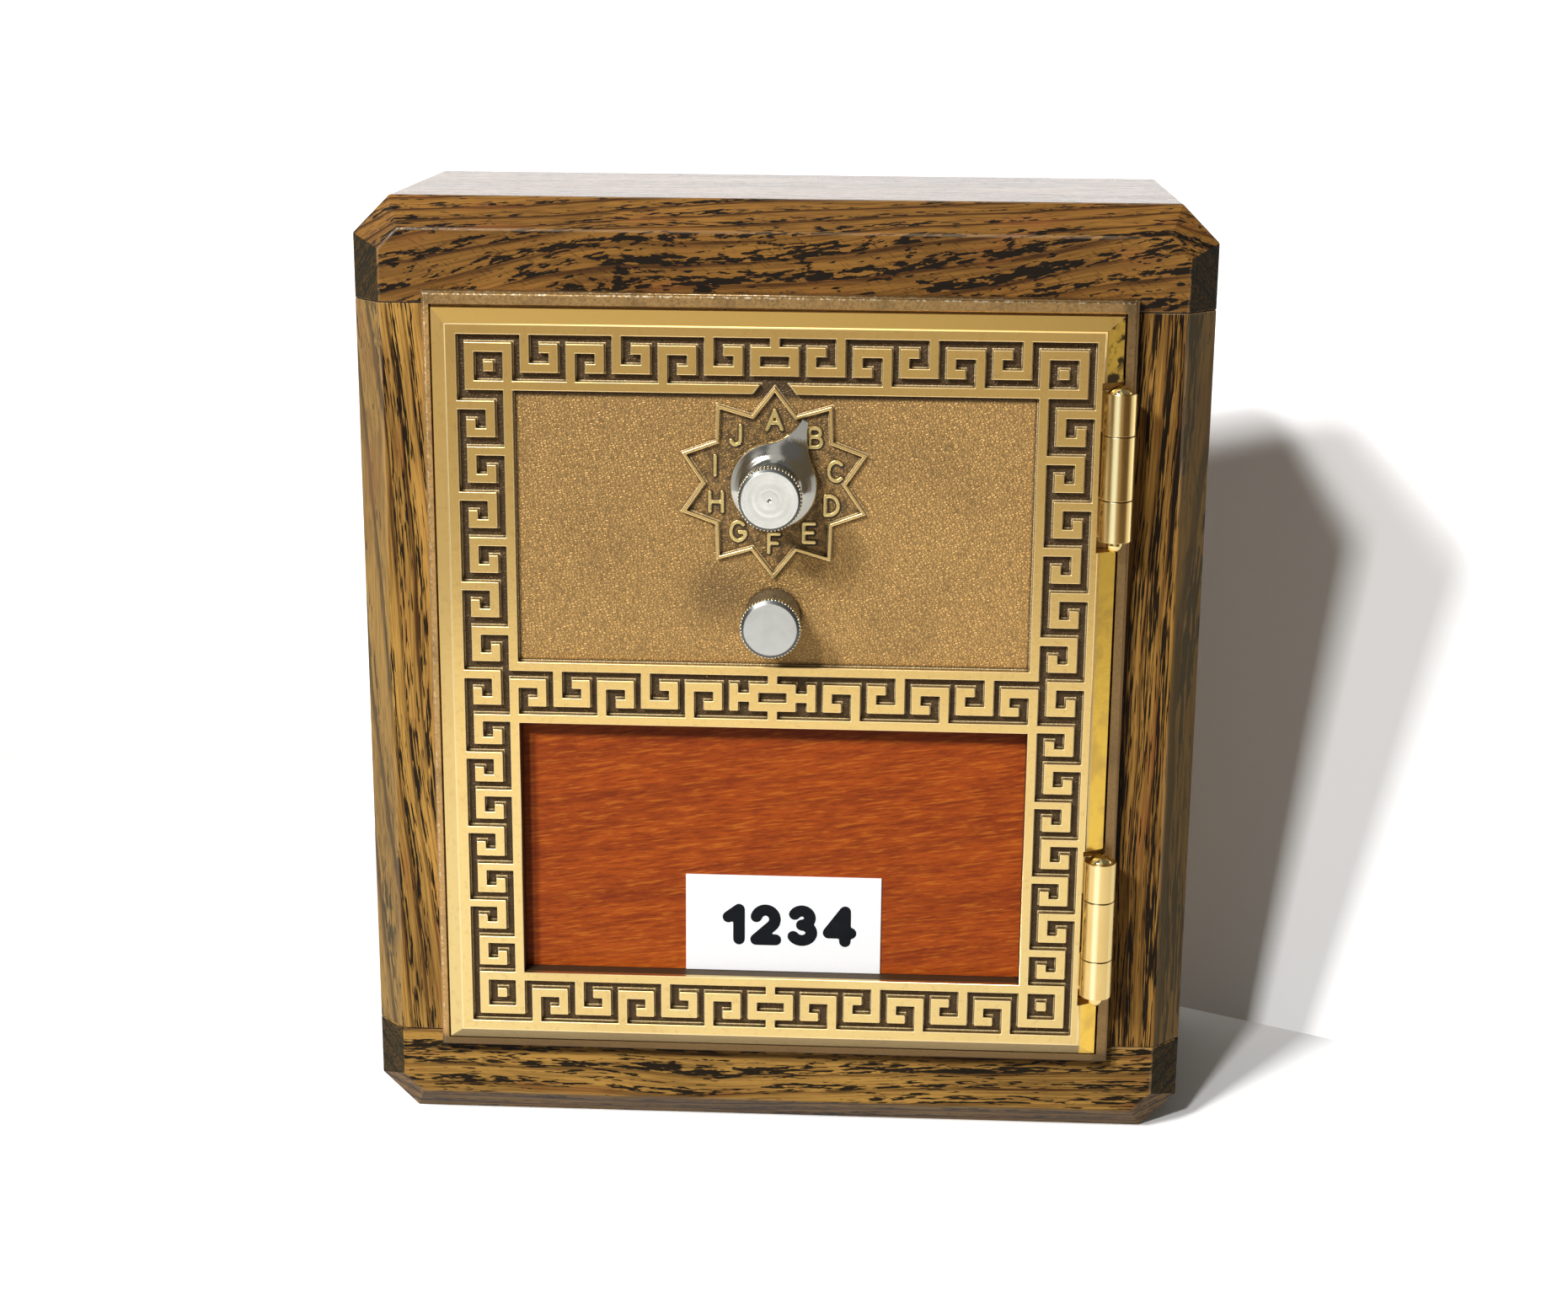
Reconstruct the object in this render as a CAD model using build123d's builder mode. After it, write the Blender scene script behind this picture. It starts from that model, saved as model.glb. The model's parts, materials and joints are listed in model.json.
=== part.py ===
from build123d import *
from math import asin, atan, atan2, cos, degrees, pi, radians, sin, tan
import os

# Oak strongbox with a cast lock-box door in its front: four boards, a back panel with a
# coin slot, a cast frame, and a hinged door that carries a star dial and a latch knob.
# The origin is the middle of the box's underside, the front looks along -Y and +Z is up.
# "Proud" sizes and places count forwards, along -Y, from the front face of the wood.

os.makedirs("parts", exist_ok=True)

# Wooden box
box_width = 158.75
box_height = 181.7
box_depth = 62.0
board = 19.05
corner_cut = 7.0
front_bevel = 5.6
back_thickness = 6.35
back_lap = 6.35
wood_gap = 0.15
slot_length = 38.0
slot_width = 4.8
slot_drop = 47.0

# Wood screws, countersunk and slotted
screw_head = 2.9
screw_head_height = 1.5
screw_shank = 1.4
screw_length = 12.0
screw_slot = 0.7
screw_slot_depth = 0.6
screw_fit = 0.05

# Door frame
frame_fit = 0.2
side_lap = 4.775
end_lap = 1.9
top_lap = 2.6
flange_shift = -0.4
flange_proud = 3.2
flange_edge = 0.5
ledge_thickness = 1.6
frame_depth = 16.0
frame_wall = 2.8
rim_side = 1.85
rim_end = 1.8
door_gap = 0.4
frame_screw_depth = 9.0
frame_screw_height = 50.0

# Door casting
door_shift = -0.75
door_proud = 6.0
door_thickness = 4.1
side_bevel = 2.8
hinge_bevel = 3.4
end_bevel = 2.6
bevel_depth = 2.2
side_margin = 2.1
end_margin = 1.9
relief = 1.3
back_rim = 2.5
back_rim_height = 3.4
back_rim_inset = 7.8

# Greek key border
band = 8.4
strip = 1.8
row = 1.8
corner_gap = 1.4
corner_boss = 1.9
key_gap = 1.37
keys_per_half = 5
side_key_fill = 0.8
first_side_key = 2.75
side_keys = 7
centre_width = 8.8
centre_bar = 2.0
centre_upright = 1.7
centre_gap = 1.3

# Window and number panel
window_height = 50.4
window_lap = 2.9
window_fit = 0.2
panel_thickness = 4.0
pocket_wall = 2.1
card_width = 37.7
card_height = 19.6
card_thickness = 0.35
card_shift = 2.2
retainer_thickness = 1.0
retainer_border = 6.0
retainer_screw_reach = 30.0
retainer_boss = 3.0

# Machine screws, pan head and slotted
bolt_shank = 1.25
bolt_head = 2.4
bolt_head_height = 1.4
bolt_fit = 0.05

# Star round the dial
star_drop = 16.5
star_points = 10
star_radius = 17.9
star_waist = 13.3
star_line = 0.65
star_height = 1.0
star_notch = 2.3

# Dial
dial_boss = 5.2
dial_clearance = 0.2
pointer_back = 6.4
pointer_radius = 8.0
pointer_tip = 13.3
pointer_tip_half = 0.6
pointer_edge = 1.2
pointer_chamfer = 0.25
pointer_hub = 5.7
pointer_hub_height = 2.8
pointer_angle = 25.6
pointer_left = 33.0
pointer_right = 40.0
knob_neck = 4.9
knob_neck_length = 4.2
knob_radius = 5.8
knob_knurl_length = 5.6
knob_crown = 0.5
knurl_count = 36
knurl_notch = 0.28
dimple = 0.6
spindle = 2.5
spindle_fit = 0.05
press_fit = 0.02
knob_floor = 2.5

# Latch knob
latch_drop = 25.0
latch_radius = 5.6
latch_length = 10.8
latch_clearance = 0.3
latch_knurl_length = 6.0
latch_flank = 5.3

# Lock case behind the door
case_wall = 1.5
case_left = 41.5
case_right = 16.5
case_top = 14.7
case_bottom = 8.3
case_depth = 15.5
post = 3.0
post_inset = 3.0
cover_thickness = 1.2
case_screw_bite = 2.0
spindle_boss = 4.6
spindle_window = 3.5

# Wheel pack
wheel = 11.0
wheel_web = 1.0
wheel_rim = 1.6
wheel_rim_wall = 2.6
wheel_gap = 1.2
wheel_hub = 3.3
wheel_play = 0.05
wheel_start = 1.9
gate = 2.6
fly_reach = 5.3
fly_width = 1.2
fly_length = 1.6
drop_pin = 0.7
drop_pin_radius = 4.5
drop_pin_length = 1.8
washer = 4.5
washer_thickness = 0.8

# Bolt, fence and cam
throw = 5.3
crank = 7.0
crank_pin = 1.25
crank_play = 0.15
cam_hub = 4.2
cam_nose = 2.4
cam_thickness = 1.8
cam_play = 0.3
clip = 4.0
clip_thickness = 0.6
bolt_height = 8.0
bolt_thickness = 4.0
bolt_rise = 4.5
bolt_clear = 2.825
bolt_tail = 10.0
bolt_back_off = 3.9
bolt_play = 0.25
fork_depth = 4.4
stud = 1.5
stud_head = 2.8
stud_head_height = 1.2
stud_place = 30.5
stud_bite = 0.8
fence_pin = 1.0
fence_seat = 6.9
fence_arm = 0.8
fence_arm_height = 3.4
fence_pin_length = 1.3
fence_post_width = 4.0
fence_post_gap = 0.5
fence_foot_thickness = 1.6
fence_foot_width = 16.0
rivet = 1.0
rivet_spacing = 10.0
keeper_play = 0.5

# Hinges
hinge_inset = 0.5
hinge_proud = 6.4
hinge_spread = 44.6
knuckle = 3.0
outer_knuckle = 7.6
middle_knuckle = 11.7
knuckle_play = 0.15
hinge_pin = 1.25
hinge_bore = 1.3
hinge_notch = 0.3
door_foot_reach = 8.2
door_foot_thickness = 2.0
foot_fit = 0.05
pin_head = 2.2
pin_head_height = 1.3
pin_tip = 2.2

# Sizes that follow from those above
opening_width = box_width - 2 * board
opening_height = box_height - 2 * board
middle = box_height / 2
flange_width = opening_width + 2 * side_lap
flange_height = opening_height + end_lap + top_lap
body_width = opening_width - 2 * frame_fit
body_height = opening_height - 2 * frame_fit
door_width = flange_width - 2 * (rim_side + door_gap)
door_height = opening_height + 2 * (end_lap - rim_end - door_gap)
door_back = door_proud - door_thickness
face_width = door_width - side_bevel - hinge_bevel
face_height = door_height - 2 * end_bevel
field_x = door_width / 2 - side_bevel - side_margin
field_z = face_height / 2 - end_margin
sight_x = field_x - band - strip
sight_z = field_z - band - strip
floor = door_proud - relief
window_bottom = -sight_z
window_top = window_bottom + window_height
window_middle = (window_bottom + window_top) / 2
mid_low = window_top + strip
mid_high = mid_low + band
panel_bottom = mid_high + strip
star_z = sight_z - star_drop
latch_z = star_z - latch_drop
groove = (band - 3 * row) / 2
wheel_pitch = wheel_web + wheel_rim + wheel_gap
bolt_tip = body_width / 2 - frame_wall + door_shift - bolt_clear
hinge_x = door_shift + door_width / 2 - hinge_inset


def depth(proud):
    """Y of what stands so far proud of the wood's front."""
    return -box_depth / 2 - proud


def wood(proud):
    """Plane parallel to the wood's front, with its origin on the box's centre line."""
    return Plane.XZ.offset(-depth(proud))


def door(proud):
    """The same kind of plane, with its origin at the middle of the door."""
    return Plane(origin=(door_shift, depth(proud), middle), x_dir=(1, 0, 0), z_dir=(0, -1, 0))


def flat_screw(seat):
    """Countersunk screw with its head flush with the plane, driven against its normal."""
    with Locations(seat.offset(-screw_length / 2)):
        Cylinder(screw_shank, screw_length)
    with Locations(seat.offset(-screw_head_height / 2)):
        Cone(screw_shank, screw_head, screw_head_height)
    with Locations(seat.offset(-screw_slot_depth / 2)):
        Box(2 * screw_head, screw_slot, screw_slot_depth, mode=Mode.SUBTRACT)


def pan_screw(seat, length):
    """Pan-head screw whose head stands on the plane and whose shank goes below it."""
    with Locations(seat.offset(-length / 2)):
        Cylinder(bolt_shank, length)
    with Locations(seat.offset(bolt_head_height / 2)):
        Cylinder(bolt_head, bolt_head_height)
    with Locations(seat.offset(bolt_head_height - screw_slot_depth / 2)):
        Box(2 * bolt_head, screw_slot, screw_slot_depth, mode=Mode.SUBTRACT)


# The box's outer form: long edges cut at 45 degrees and a bevel round the front
with BuildPart() as envelope:
    with BuildSketch(wood(0)) as end_outline:
        with Locations((0, middle)):
            Rectangle(box_width, box_height)
        chamfer(end_outline.vertices(), corner_cut)
    extrude(amount=-box_depth)
    chamfer(envelope.faces().sort_by(Axis.Y)[0].edges(), front_bevel)

# The space inside the boards, widened at the back for the back panel
with BuildPart() as hollow:
    with BuildSketch(wood(0)):
        with Locations((0, middle)):
            Rectangle(opening_width, opening_height)
    extrude(amount=-box_depth)
    with BuildSketch(wood(-box_depth)):
        with Locations((0, middle)):
            Rectangle(opening_width + 2 * back_lap, opening_height + 2 * back_lap)
    extrude(amount=back_thickness)

frame_seats = [
    Plane(
        origin=(side * (body_width / 2 - frame_wall), depth(-frame_screw_depth), middle + height),
        x_dir=(0, 1, 0),
        z_dir=(-side, 0, 0),
    )
    for side in (-1, 1)
    for height in (-frame_screw_height, frame_screw_height)
]
back_seats = [
    Plane(origin=(x, depth(-box_depth), middle + z), x_dir=(-1, 0, 0), z_dir=(0, 1, 0))
    for x in (-opening_width / 2 - back_lap / 2, opening_width / 2 + back_lap / 2)
    for z in (-frame_screw_height, frame_screw_height)
]

# Top and bottom boards run the full width, and the side boards stand between them
boards = {
    "bottom_board": (0, board / 2, box_width, board),
    "top_board": (0, box_height - board / 2, box_width, board),
    "left_board": (board / 2 - box_width / 2, middle, board, opening_height),
    "right_board": (box_width / 2 - board / 2, middle, board, opening_height),
}
for name, (x, z, width, height) in boards.items():
    with BuildPart() as piece:
        with BuildSketch(wood(0)):
            with Locations((x, z)):
                Rectangle(width, height)
        extrude(amount=-box_depth)
        add(envelope.part, mode=Mode.INTERSECT)
        add(hollow.part, mode=Mode.SUBTRACT)
        if width < height:
            with Locations(*frame_seats, *back_seats):
                Hole(screw_shank + screw_fit, depth=screw_length + screw_fit)
    piece.part.label = name
    export_step(piece.part, f"parts/{name}.step")

# Back panel in its rebate, with a routed coin slot
with BuildPart() as back_panel:
    with BuildSketch(wood(-box_depth)):
        with Locations((0, middle)):
            Rectangle(
                opening_width + 2 * (back_lap - wood_gap),
                opening_height + 2 * (back_lap - wood_gap),
            )
        with Locations((0, box_height - slot_drop)):
            SlotOverall(slot_length, slot_width, mode=Mode.SUBTRACT)
    extrude(amount=back_thickness)
    with Locations(*back_seats):
        CounterSinkHole(
            radius=screw_shank + screw_fit,
            counter_sink_radius=screw_head + screw_fit,
            depth=2 * back_thickness,
            counter_sink_angle=2 * degrees(atan2(screw_head - screw_shank, screw_head_height)),
        )
back_panel.part.label = "back_panel"
export_step(back_panel.part, "parts/back_panel.step")

with BuildPart() as back_screws:
    for seat in back_seats:
        flat_screw(seat)
back_screws.part.label = "back_screws"
export_step(back_screws.part, "parts/back_screws.step")

# Wheel pack, bolt and cam share these places, all measured at the door
bolt_y = door_back - bolt_back_off
bolt_z = latch_z + bolt_rise + bolt_height / 2
case_floor = door_back - case_wall

# Cast frame: a flange on the wood, a sunk seat for the door, and a sleeve into the box
with BuildPart() as door_frame:
    with BuildSketch(wood(0)):
        with Locations((flange_shift, middle + (top_lap - end_lap) / 2)):
            Rectangle(flange_width, flange_height)
    extrude(amount=flange_proud)
    chamfer(door_frame.faces().sort_by(Axis.Y)[0].edges(), flange_edge)
    with BuildSketch(wood(0)):
        with Locations((0, middle)):
            Rectangle(body_width, body_height)
    extrude(amount=-frame_depth)
    with BuildSketch(door(flange_proud)):
        Rectangle(door_width + 2 * door_gap, door_height + 2 * door_gap)
    extrude(amount=ledge_thickness - flange_proud, mode=Mode.SUBTRACT)
    with BuildSketch(wood(flange_proud)):
        with Locations((0, middle)):
            Rectangle(body_width - 2 * frame_wall, body_height - 2 * frame_wall)
    extrude(amount=-frame_depth - flange_proud, mode=Mode.SUBTRACT)
    with BuildSketch(Plane.YZ.offset(-body_width / 2)):
        with Locations((depth(bolt_y - bolt_thickness / 2), middle + bolt_z)):
            Rectangle(bolt_thickness + 2 * keeper_play, bolt_height + 2 * keeper_play)
    extrude(amount=frame_wall, mode=Mode.SUBTRACT)
    with Locations(*frame_seats):
        CounterSinkHole(
            radius=screw_shank + screw_fit,
            counter_sink_radius=screw_head + screw_fit,
            depth=2 * frame_wall,
            counter_sink_angle=2 * degrees(atan2(screw_head - screw_shank, screw_head_height)),
        )
door_frame.part.label = "door_frame"
export_step(door_frame.part, "parts/door_frame.step")

with BuildPart() as frame_screws:
    for seat in frame_seats:
        flat_screw(seat)
frame_screws.part.label = "frame_screws"
export_step(frame_screws.part, "parts/frame_screws.step")


def key(cell, root):
    """One hook of the border. It starts at the band's edge on the root side, crosses to
    the far row, runs three cells on, comes back and ends in a stub one cell long."""
    path = [
        (cell / 2, root * band / 2),
        (cell / 2, -root * row),
        (3.5 * cell, -root * row),
        (3.5 * cell, root * row),
        (2.5 * cell, root * row),
    ]
    with BuildSketch() as hook:
        for (x0, y0), (x1, y1) in zip(path, path[1:]):
            with Locations(((x0 + x1) / 2, (y0 + y1) / 2)):
                Rectangle(abs(x1 - x0) + cell, abs(y1 - y0) + row)
    return hook.sketch


def bar(x0, z0, x1, z1, mode=Mode.ADD):
    """Upright rectangle between two corners."""
    with Locations(((x0 + x1) / 2, (z0 + z1) / 2)):
        Rectangle(abs(x1 - x0), abs(z1 - z0), mode=mode)


# Left half of the raised border: corner squares, then the keys of the level bands,
# then those of the upright band, which hang from the outer margin and the inner
# strip by turns
key_length = (sight_x - centre_width / 2 - (keys_per_half + 1) * key_gap) / keys_per_half
cell = key_length / 4
centre_end = centre_width / 2 + centre_bar + centre_upright + centre_gap
mid_pitch = (sight_x + strip - key_length - centre_end) / (keys_per_half - 1)
top_middle = field_z - band / 2
mid_middle = mid_low + band / 2
upper_pitch = (sight_z - first_side_key - (window_top + strip / 2)) / side_keys
lower_pitch = (window_top + strip / 2 - (window_bottom - strip / 2)) / side_keys

with BuildSketch() as half_border:
    for end in (-1, 1):
        corner = (corner_gap - field_x, end * (field_z - corner_gap))
        bar(*corner, -sight_x, end * sight_z)
        bar(
            corner[0] + strip,
            corner[1] - end * strip,
            -sight_x - strip,
            end * (sight_z + strip),
            mode=Mode.SUBTRACT,
        )
        with Locations(((corner[0] - sight_x) / 2, (corner[1] + end * sight_z) / 2)):
            Rectangle(corner_boss, corner_boss)
    for n in range(keys_per_half):
        x = -sight_x + key_gap + n * (key_length + key_gap)
        turn = 1 if n % 2 == 0 else -1
        with Locations((x, top_middle)):
            add(key(cell, turn))
        with Locations((x, -top_middle)):
            add(key(cell, -turn))
        with Locations((-sight_x - strip + n * mid_pitch, mid_middle)):
            add(key(cell, -turn))
    upright_x = -field_x + band / 2
    for n in range(side_keys):
        turn = -1 if n % 2 == 0 else 1
        upper_cell = side_key_fill * upper_pitch / 4
        with Locations(Location((upright_x, window_top + strip / 2 + (side_keys - n) * upper_pitch
                                 + upper_cell / 2), -90)):
            add(key(upper_cell, turn))
        lower_cell = side_key_fill * lower_pitch / 4
        with Locations(Location((upright_x, window_top + strip / 2 - n * lower_pitch
                                 + lower_cell / 2), -90)):
            add(key(lower_cell, -turn))
    bar(centre_gap - centre_end, mid_middle - 1.5 * row,
        -centre_width / 2 - centre_bar, mid_middle + 1.5 * row)
    bar(-centre_width / 2 - centre_bar, mid_middle - row / 2, 0, mid_middle + row / 2)

# Whole border: both halves, the strips round the panel and the window, and the
# centre boxes with their stems
tip_half_angle = atan(star_waist * sin(pi / star_points)
                      / (star_radius - star_waist * cos(pi / star_points)))
notch_top = star_z + star_radius + star_notch / sin(tip_half_angle)
notch_base = sight_z - strip
notch_half = (notch_top - notch_base) * tan(tip_half_angle)
with BuildSketch() as border:
    Rectangle(2 * (sight_x + strip), 2 * (sight_z + strip))
    bar(-sight_x, window_top, sight_x, window_bottom, mode=Mode.SUBTRACT)
    bar(-sight_x, sight_z, sight_x, panel_bottom, mode=Mode.SUBTRACT)
    bar(-sight_x - strip, mid_high - groove, sight_x + strip, mid_high, mode=Mode.SUBTRACT)
    bar(-sight_x, mid_high, sight_x, mid_low, mode=Mode.SUBTRACT)
    Polygon((0, notch_top), (-notch_half, notch_base), (notch_half, notch_base),
            mode=Mode.SUBTRACT)
    add(half_border.sketch)
    add(half_border.sketch.mirror(Plane.YZ))
    for height, stems in ((top_middle, (1,)), (mid_middle, (-1, 1)), (-top_middle, (-1, 1))):
        bar(-centre_width / 2, height - 1.5 * row, centre_width / 2, height + 1.5 * row)
        bar(strip - centre_width / 2, height - row / 2, centre_width / 2 - strip,
            height + row / 2, mode=Mode.SUBTRACT)
        for side in stems:
            bar(-strip / 2, height + side * 1.5 * row, strip / 2, height + side * band / 2)

star_corners = [
    (
        (star_radius if n % 2 == 0 else star_waist) * sin(n * pi / star_points),
        (star_radius if n % 2 == 0 else star_waist) * cos(n * pi / star_points) + star_z,
    )
    for n in range(2 * star_points)
]

hinge_half = middle_knuckle / 2 + knuckle_play + outer_knuckle
hinge_middles = (middle - hinge_spread, middle + hinge_spread)
boss_places = [
    (side * retainer_screw_reach, window_middle + end * (window_height / 2 + window_lap
                                                         + window_fit + retainer_boss))
    for side in (-1, 1)
    for end in (-1, 1)
]
post_places = [
    (x, z)
    for x in (-case_left + post_inset, case_right - post_inset)
    for z in (latch_z - case_bottom + post_inset, star_z + case_top - post_inset)
]
foot_left = hinge_x - door_foot_reach

# Door casting: bevelled plate, sunk field with the border and star standing in it,
# window opening, and on the back a stiffening rim, the window pocket and its bosses
with BuildPart() as door_casting:
    with BuildSketch(door(door_proud - bevel_depth)):
        Rectangle(door_width, door_height)
    extrude(amount=bevel_depth - door_thickness)
    with BuildSketch(door(door_proud - bevel_depth)):
        Rectangle(door_width, door_height)
    with BuildSketch(door(door_proud)):
        with Locations(((side_bevel - hinge_bevel) / 2, 0)):
            Rectangle(face_width, face_height)
    loft()
    with BuildSketch(door(door_back)):
        Rectangle(door_width - 2 * back_rim_inset, door_height - 2 * back_rim_inset)
        Rectangle(door_width - 2 * (back_rim_inset + back_rim),
                  door_height - 2 * (back_rim_inset + back_rim), mode=Mode.SUBTRACT)
    extrude(amount=-back_rim_height)
    with BuildSketch(door(door_back)):
        with Locations((0, window_middle)):
            Rectangle(2 * (sight_x + window_lap + window_fit + pocket_wall),
                      window_height + 2 * (window_lap + window_fit + pocket_wall))
        with Locations(*boss_places):
            Circle(retainer_boss)
        with Locations((0, window_middle)):
            Rectangle(2 * (sight_x + window_lap + window_fit),
                      window_height + 2 * (window_lap + window_fit), mode=Mode.SUBTRACT)
    extrude(amount=-panel_thickness)
    with BuildSketch(door(door_proud)):
        Rectangle(2 * field_x, 2 * field_z)
        add(border.sketch, mode=Mode.SUBTRACT)
    extrude(amount=-relief, mode=Mode.SUBTRACT)
    with BuildSketch(door(door_proud)):
        bar(-sight_x, window_top, sight_x, window_bottom)
    extrude(amount=-door_thickness, mode=Mode.SUBTRACT)
    with BuildSketch(door(floor)) as star:
        Polygon(*star_corners)
        offset(amount=-star_line, kind=Kind.INTERSECTION, mode=Mode.SUBTRACT)
    extrude(amount=star_height)
    with BuildSketch(door(floor)):
        with Locations((0, star_z)):
            Circle(dial_boss)
    extrude(amount=pointer_back - dial_clearance - floor)
    with Locations(door(door_proud)):
        with Locations((0, star_z), (0, latch_z)):
            Hole(spindle + spindle_fit, depth=2 * door_thickness)
    with Locations(door(door_back).offset(-panel_thickness)):
        with Locations(*boss_places):
            Cylinder(bolt_shank + bolt_fit, 2 * (panel_thickness + case_screw_bite),
                     mode=Mode.SUBTRACT)
    with Locations(door(door_back)):
        with Locations(*post_places):
            Cylinder(bolt_shank + bolt_fit, 2 * case_screw_bite, mode=Mode.SUBTRACT)
    for z in hinge_middles:
        with BuildSketch(wood(2 * door_proud)):
            bar(hinge_x - knuckle - hinge_notch, z - hinge_half - pin_tip - hinge_notch,
                hinge_x + knuckle, z + hinge_half + pin_head_height + hinge_notch)
        extrude(amount=-2 * door_proud, mode=Mode.SUBTRACT)
        for side in (-1, 1):
            with BuildSketch(wood(door_back)):
                with Locations((foot_left - foot_fit,
                                z + side * (hinge_half - outer_knuckle / 2))):
                    Rectangle(door_foot_reach, outer_knuckle + 2 * foot_fit,
                              align=(Align.MIN, Align.CENTER))
            extrude(amount=door_foot_thickness, mode=Mode.SUBTRACT)
door_casting.part.label = "door_casting"
export_step(door_casting.part, "parts/door_casting.step")

# Hinge knuckles: the outer two of each hinge belong to the door, the middle one to the
# frame. Each is a barrel with a foot let into, or standing on, its casting.
with BuildPart() as door_knuckles:
    for z in hinge_middles:
        for base in (z - hinge_half, z + hinge_half - outer_knuckle):
            with BuildSketch(Plane.XY.offset(base)):
                with Locations((hinge_x, depth(hinge_proud))):
                    Circle(knuckle)
                with Locations((foot_left, depth(door_back))):
                    Rectangle(door_foot_reach, door_foot_thickness,
                              align=(Align.MIN, Align.MAX))
            extrude(amount=outer_knuckle)
            with BuildSketch(Plane.XY.offset(base)):
                with Locations((hinge_x, depth(hinge_proud))):
                    Circle(hinge_bore)
            extrude(amount=outer_knuckle, mode=Mode.SUBTRACT)
door_knuckles.part.label = "door_knuckles"
export_step(door_knuckles.part, "parts/door_knuckles.step")

rim_left = door_shift + door_width / 2 + door_gap
with BuildPart() as frame_knuckles:
    for z in hinge_middles:
        with BuildSketch(Plane.XY.offset(z - middle_knuckle / 2)):
            with Locations((hinge_x, depth(hinge_proud))):
                Circle(knuckle)
            with Locations((rim_left, depth(flange_proud))):
                Rectangle(hinge_x + knuckle - rim_left, hinge_proud - flange_proud,
                          align=(Align.MIN, Align.MAX))
        extrude(amount=middle_knuckle)
        with BuildSketch(Plane.XY.offset(z - middle_knuckle / 2)):
            with Locations((hinge_x, depth(hinge_proud))):
                Circle(hinge_bore)
        extrude(amount=middle_knuckle, mode=Mode.SUBTRACT)
frame_knuckles.part.label = "frame_knuckles"
export_step(frame_knuckles.part, "parts/frame_knuckles.step")

# Hinge pins with a domed head above and a rounded tip below
for name, z in zip(("lower_hinge_pin", "upper_hinge_pin"), hinge_middles):
    with BuildPart() as pin:
        with BuildSketch(wood(hinge_proud)):
            with BuildLine():
                top = (hinge_x, z + hinge_half + pin_head_height)
                bottom = (hinge_x, z - hinge_half - pin_tip)
                Line(bottom, top)
                TangentArc(top, (hinge_x + pin_head, z + hinge_half), tangent=(1, 0))
                Polyline(
                    (hinge_x + pin_head, z + hinge_half),
                    (hinge_x + hinge_pin, z + hinge_half),
                    (hinge_x + hinge_pin, z - hinge_half),
                )
                TangentArc(bottom, (hinge_x + hinge_pin, z - hinge_half), tangent=(1, 0))
            make_face()
        revolve(axis=Axis((hinge_x, depth(hinge_proud), 0), (0, 0, 1)))
    pin.part.label = name
    export_step(pin.part, f"parts/{name}.step")

# Cherry panel behind the window, the number card on it, and the sheet retainer
with BuildPart() as window_panel:
    with BuildSketch(door(door_back)):
        with Locations((0, window_middle)):
            Rectangle(2 * (sight_x + window_lap), window_height + 2 * window_lap)
    extrude(amount=-panel_thickness)
window_panel.part.label = "window_panel"
export_step(window_panel.part, "parts/window_panel.step")

with BuildPart() as number_card:
    with BuildSketch(door(door_back)):
        with Locations((card_shift, window_bottom)):
            Rectangle(card_width, card_height, align=(Align.CENTER, Align.MIN))
    extrude(amount=card_thickness)
number_card.part.label = "number_card"
export_step(number_card.part, "parts/number_card.step")

retainer_seat = door(door_back - panel_thickness)
with BuildPart() as window_retainer:
    with BuildSketch(retainer_seat):
        with Locations((0, window_middle)):
            Rectangle(2 * (sight_x + window_lap + window_fit + pocket_wall),
                      window_height + 2 * (window_lap + window_fit + pocket_wall))
        with Locations(*boss_places):
            Circle(retainer_boss)
        with Locations((0, window_middle)):
            Rectangle(2 * (sight_x + window_lap - retainer_border),
                      window_height + 2 * (window_lap - retainer_border), mode=Mode.SUBTRACT)
        with Locations(*boss_places):
            Circle(bolt_shank + bolt_fit, mode=Mode.SUBTRACT)
    extrude(amount=-retainer_thickness)
window_retainer.part.label = "window_retainer"
export_step(window_retainer.part, "parts/window_retainer.step")


def back_planes(places, proud):
    """Planes that look backwards into the box, one over each place on the door."""
    return [
        Plane(origin=(door_shift + x, depth(proud), middle + z), x_dir=(-1, 0, 0),
              z_dir=(0, 1, 0))
        for x, z in places
    ]


with BuildPart() as retainer_screws:
    for seat in back_planes(boss_places, door_back - panel_thickness - retainer_thickness):
        pan_screw(seat, retainer_thickness + panel_thickness)
retainer_screws.part.label = "retainer_screws"
export_step(retainer_screws.part, "parts/retainer_screws.step")

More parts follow.
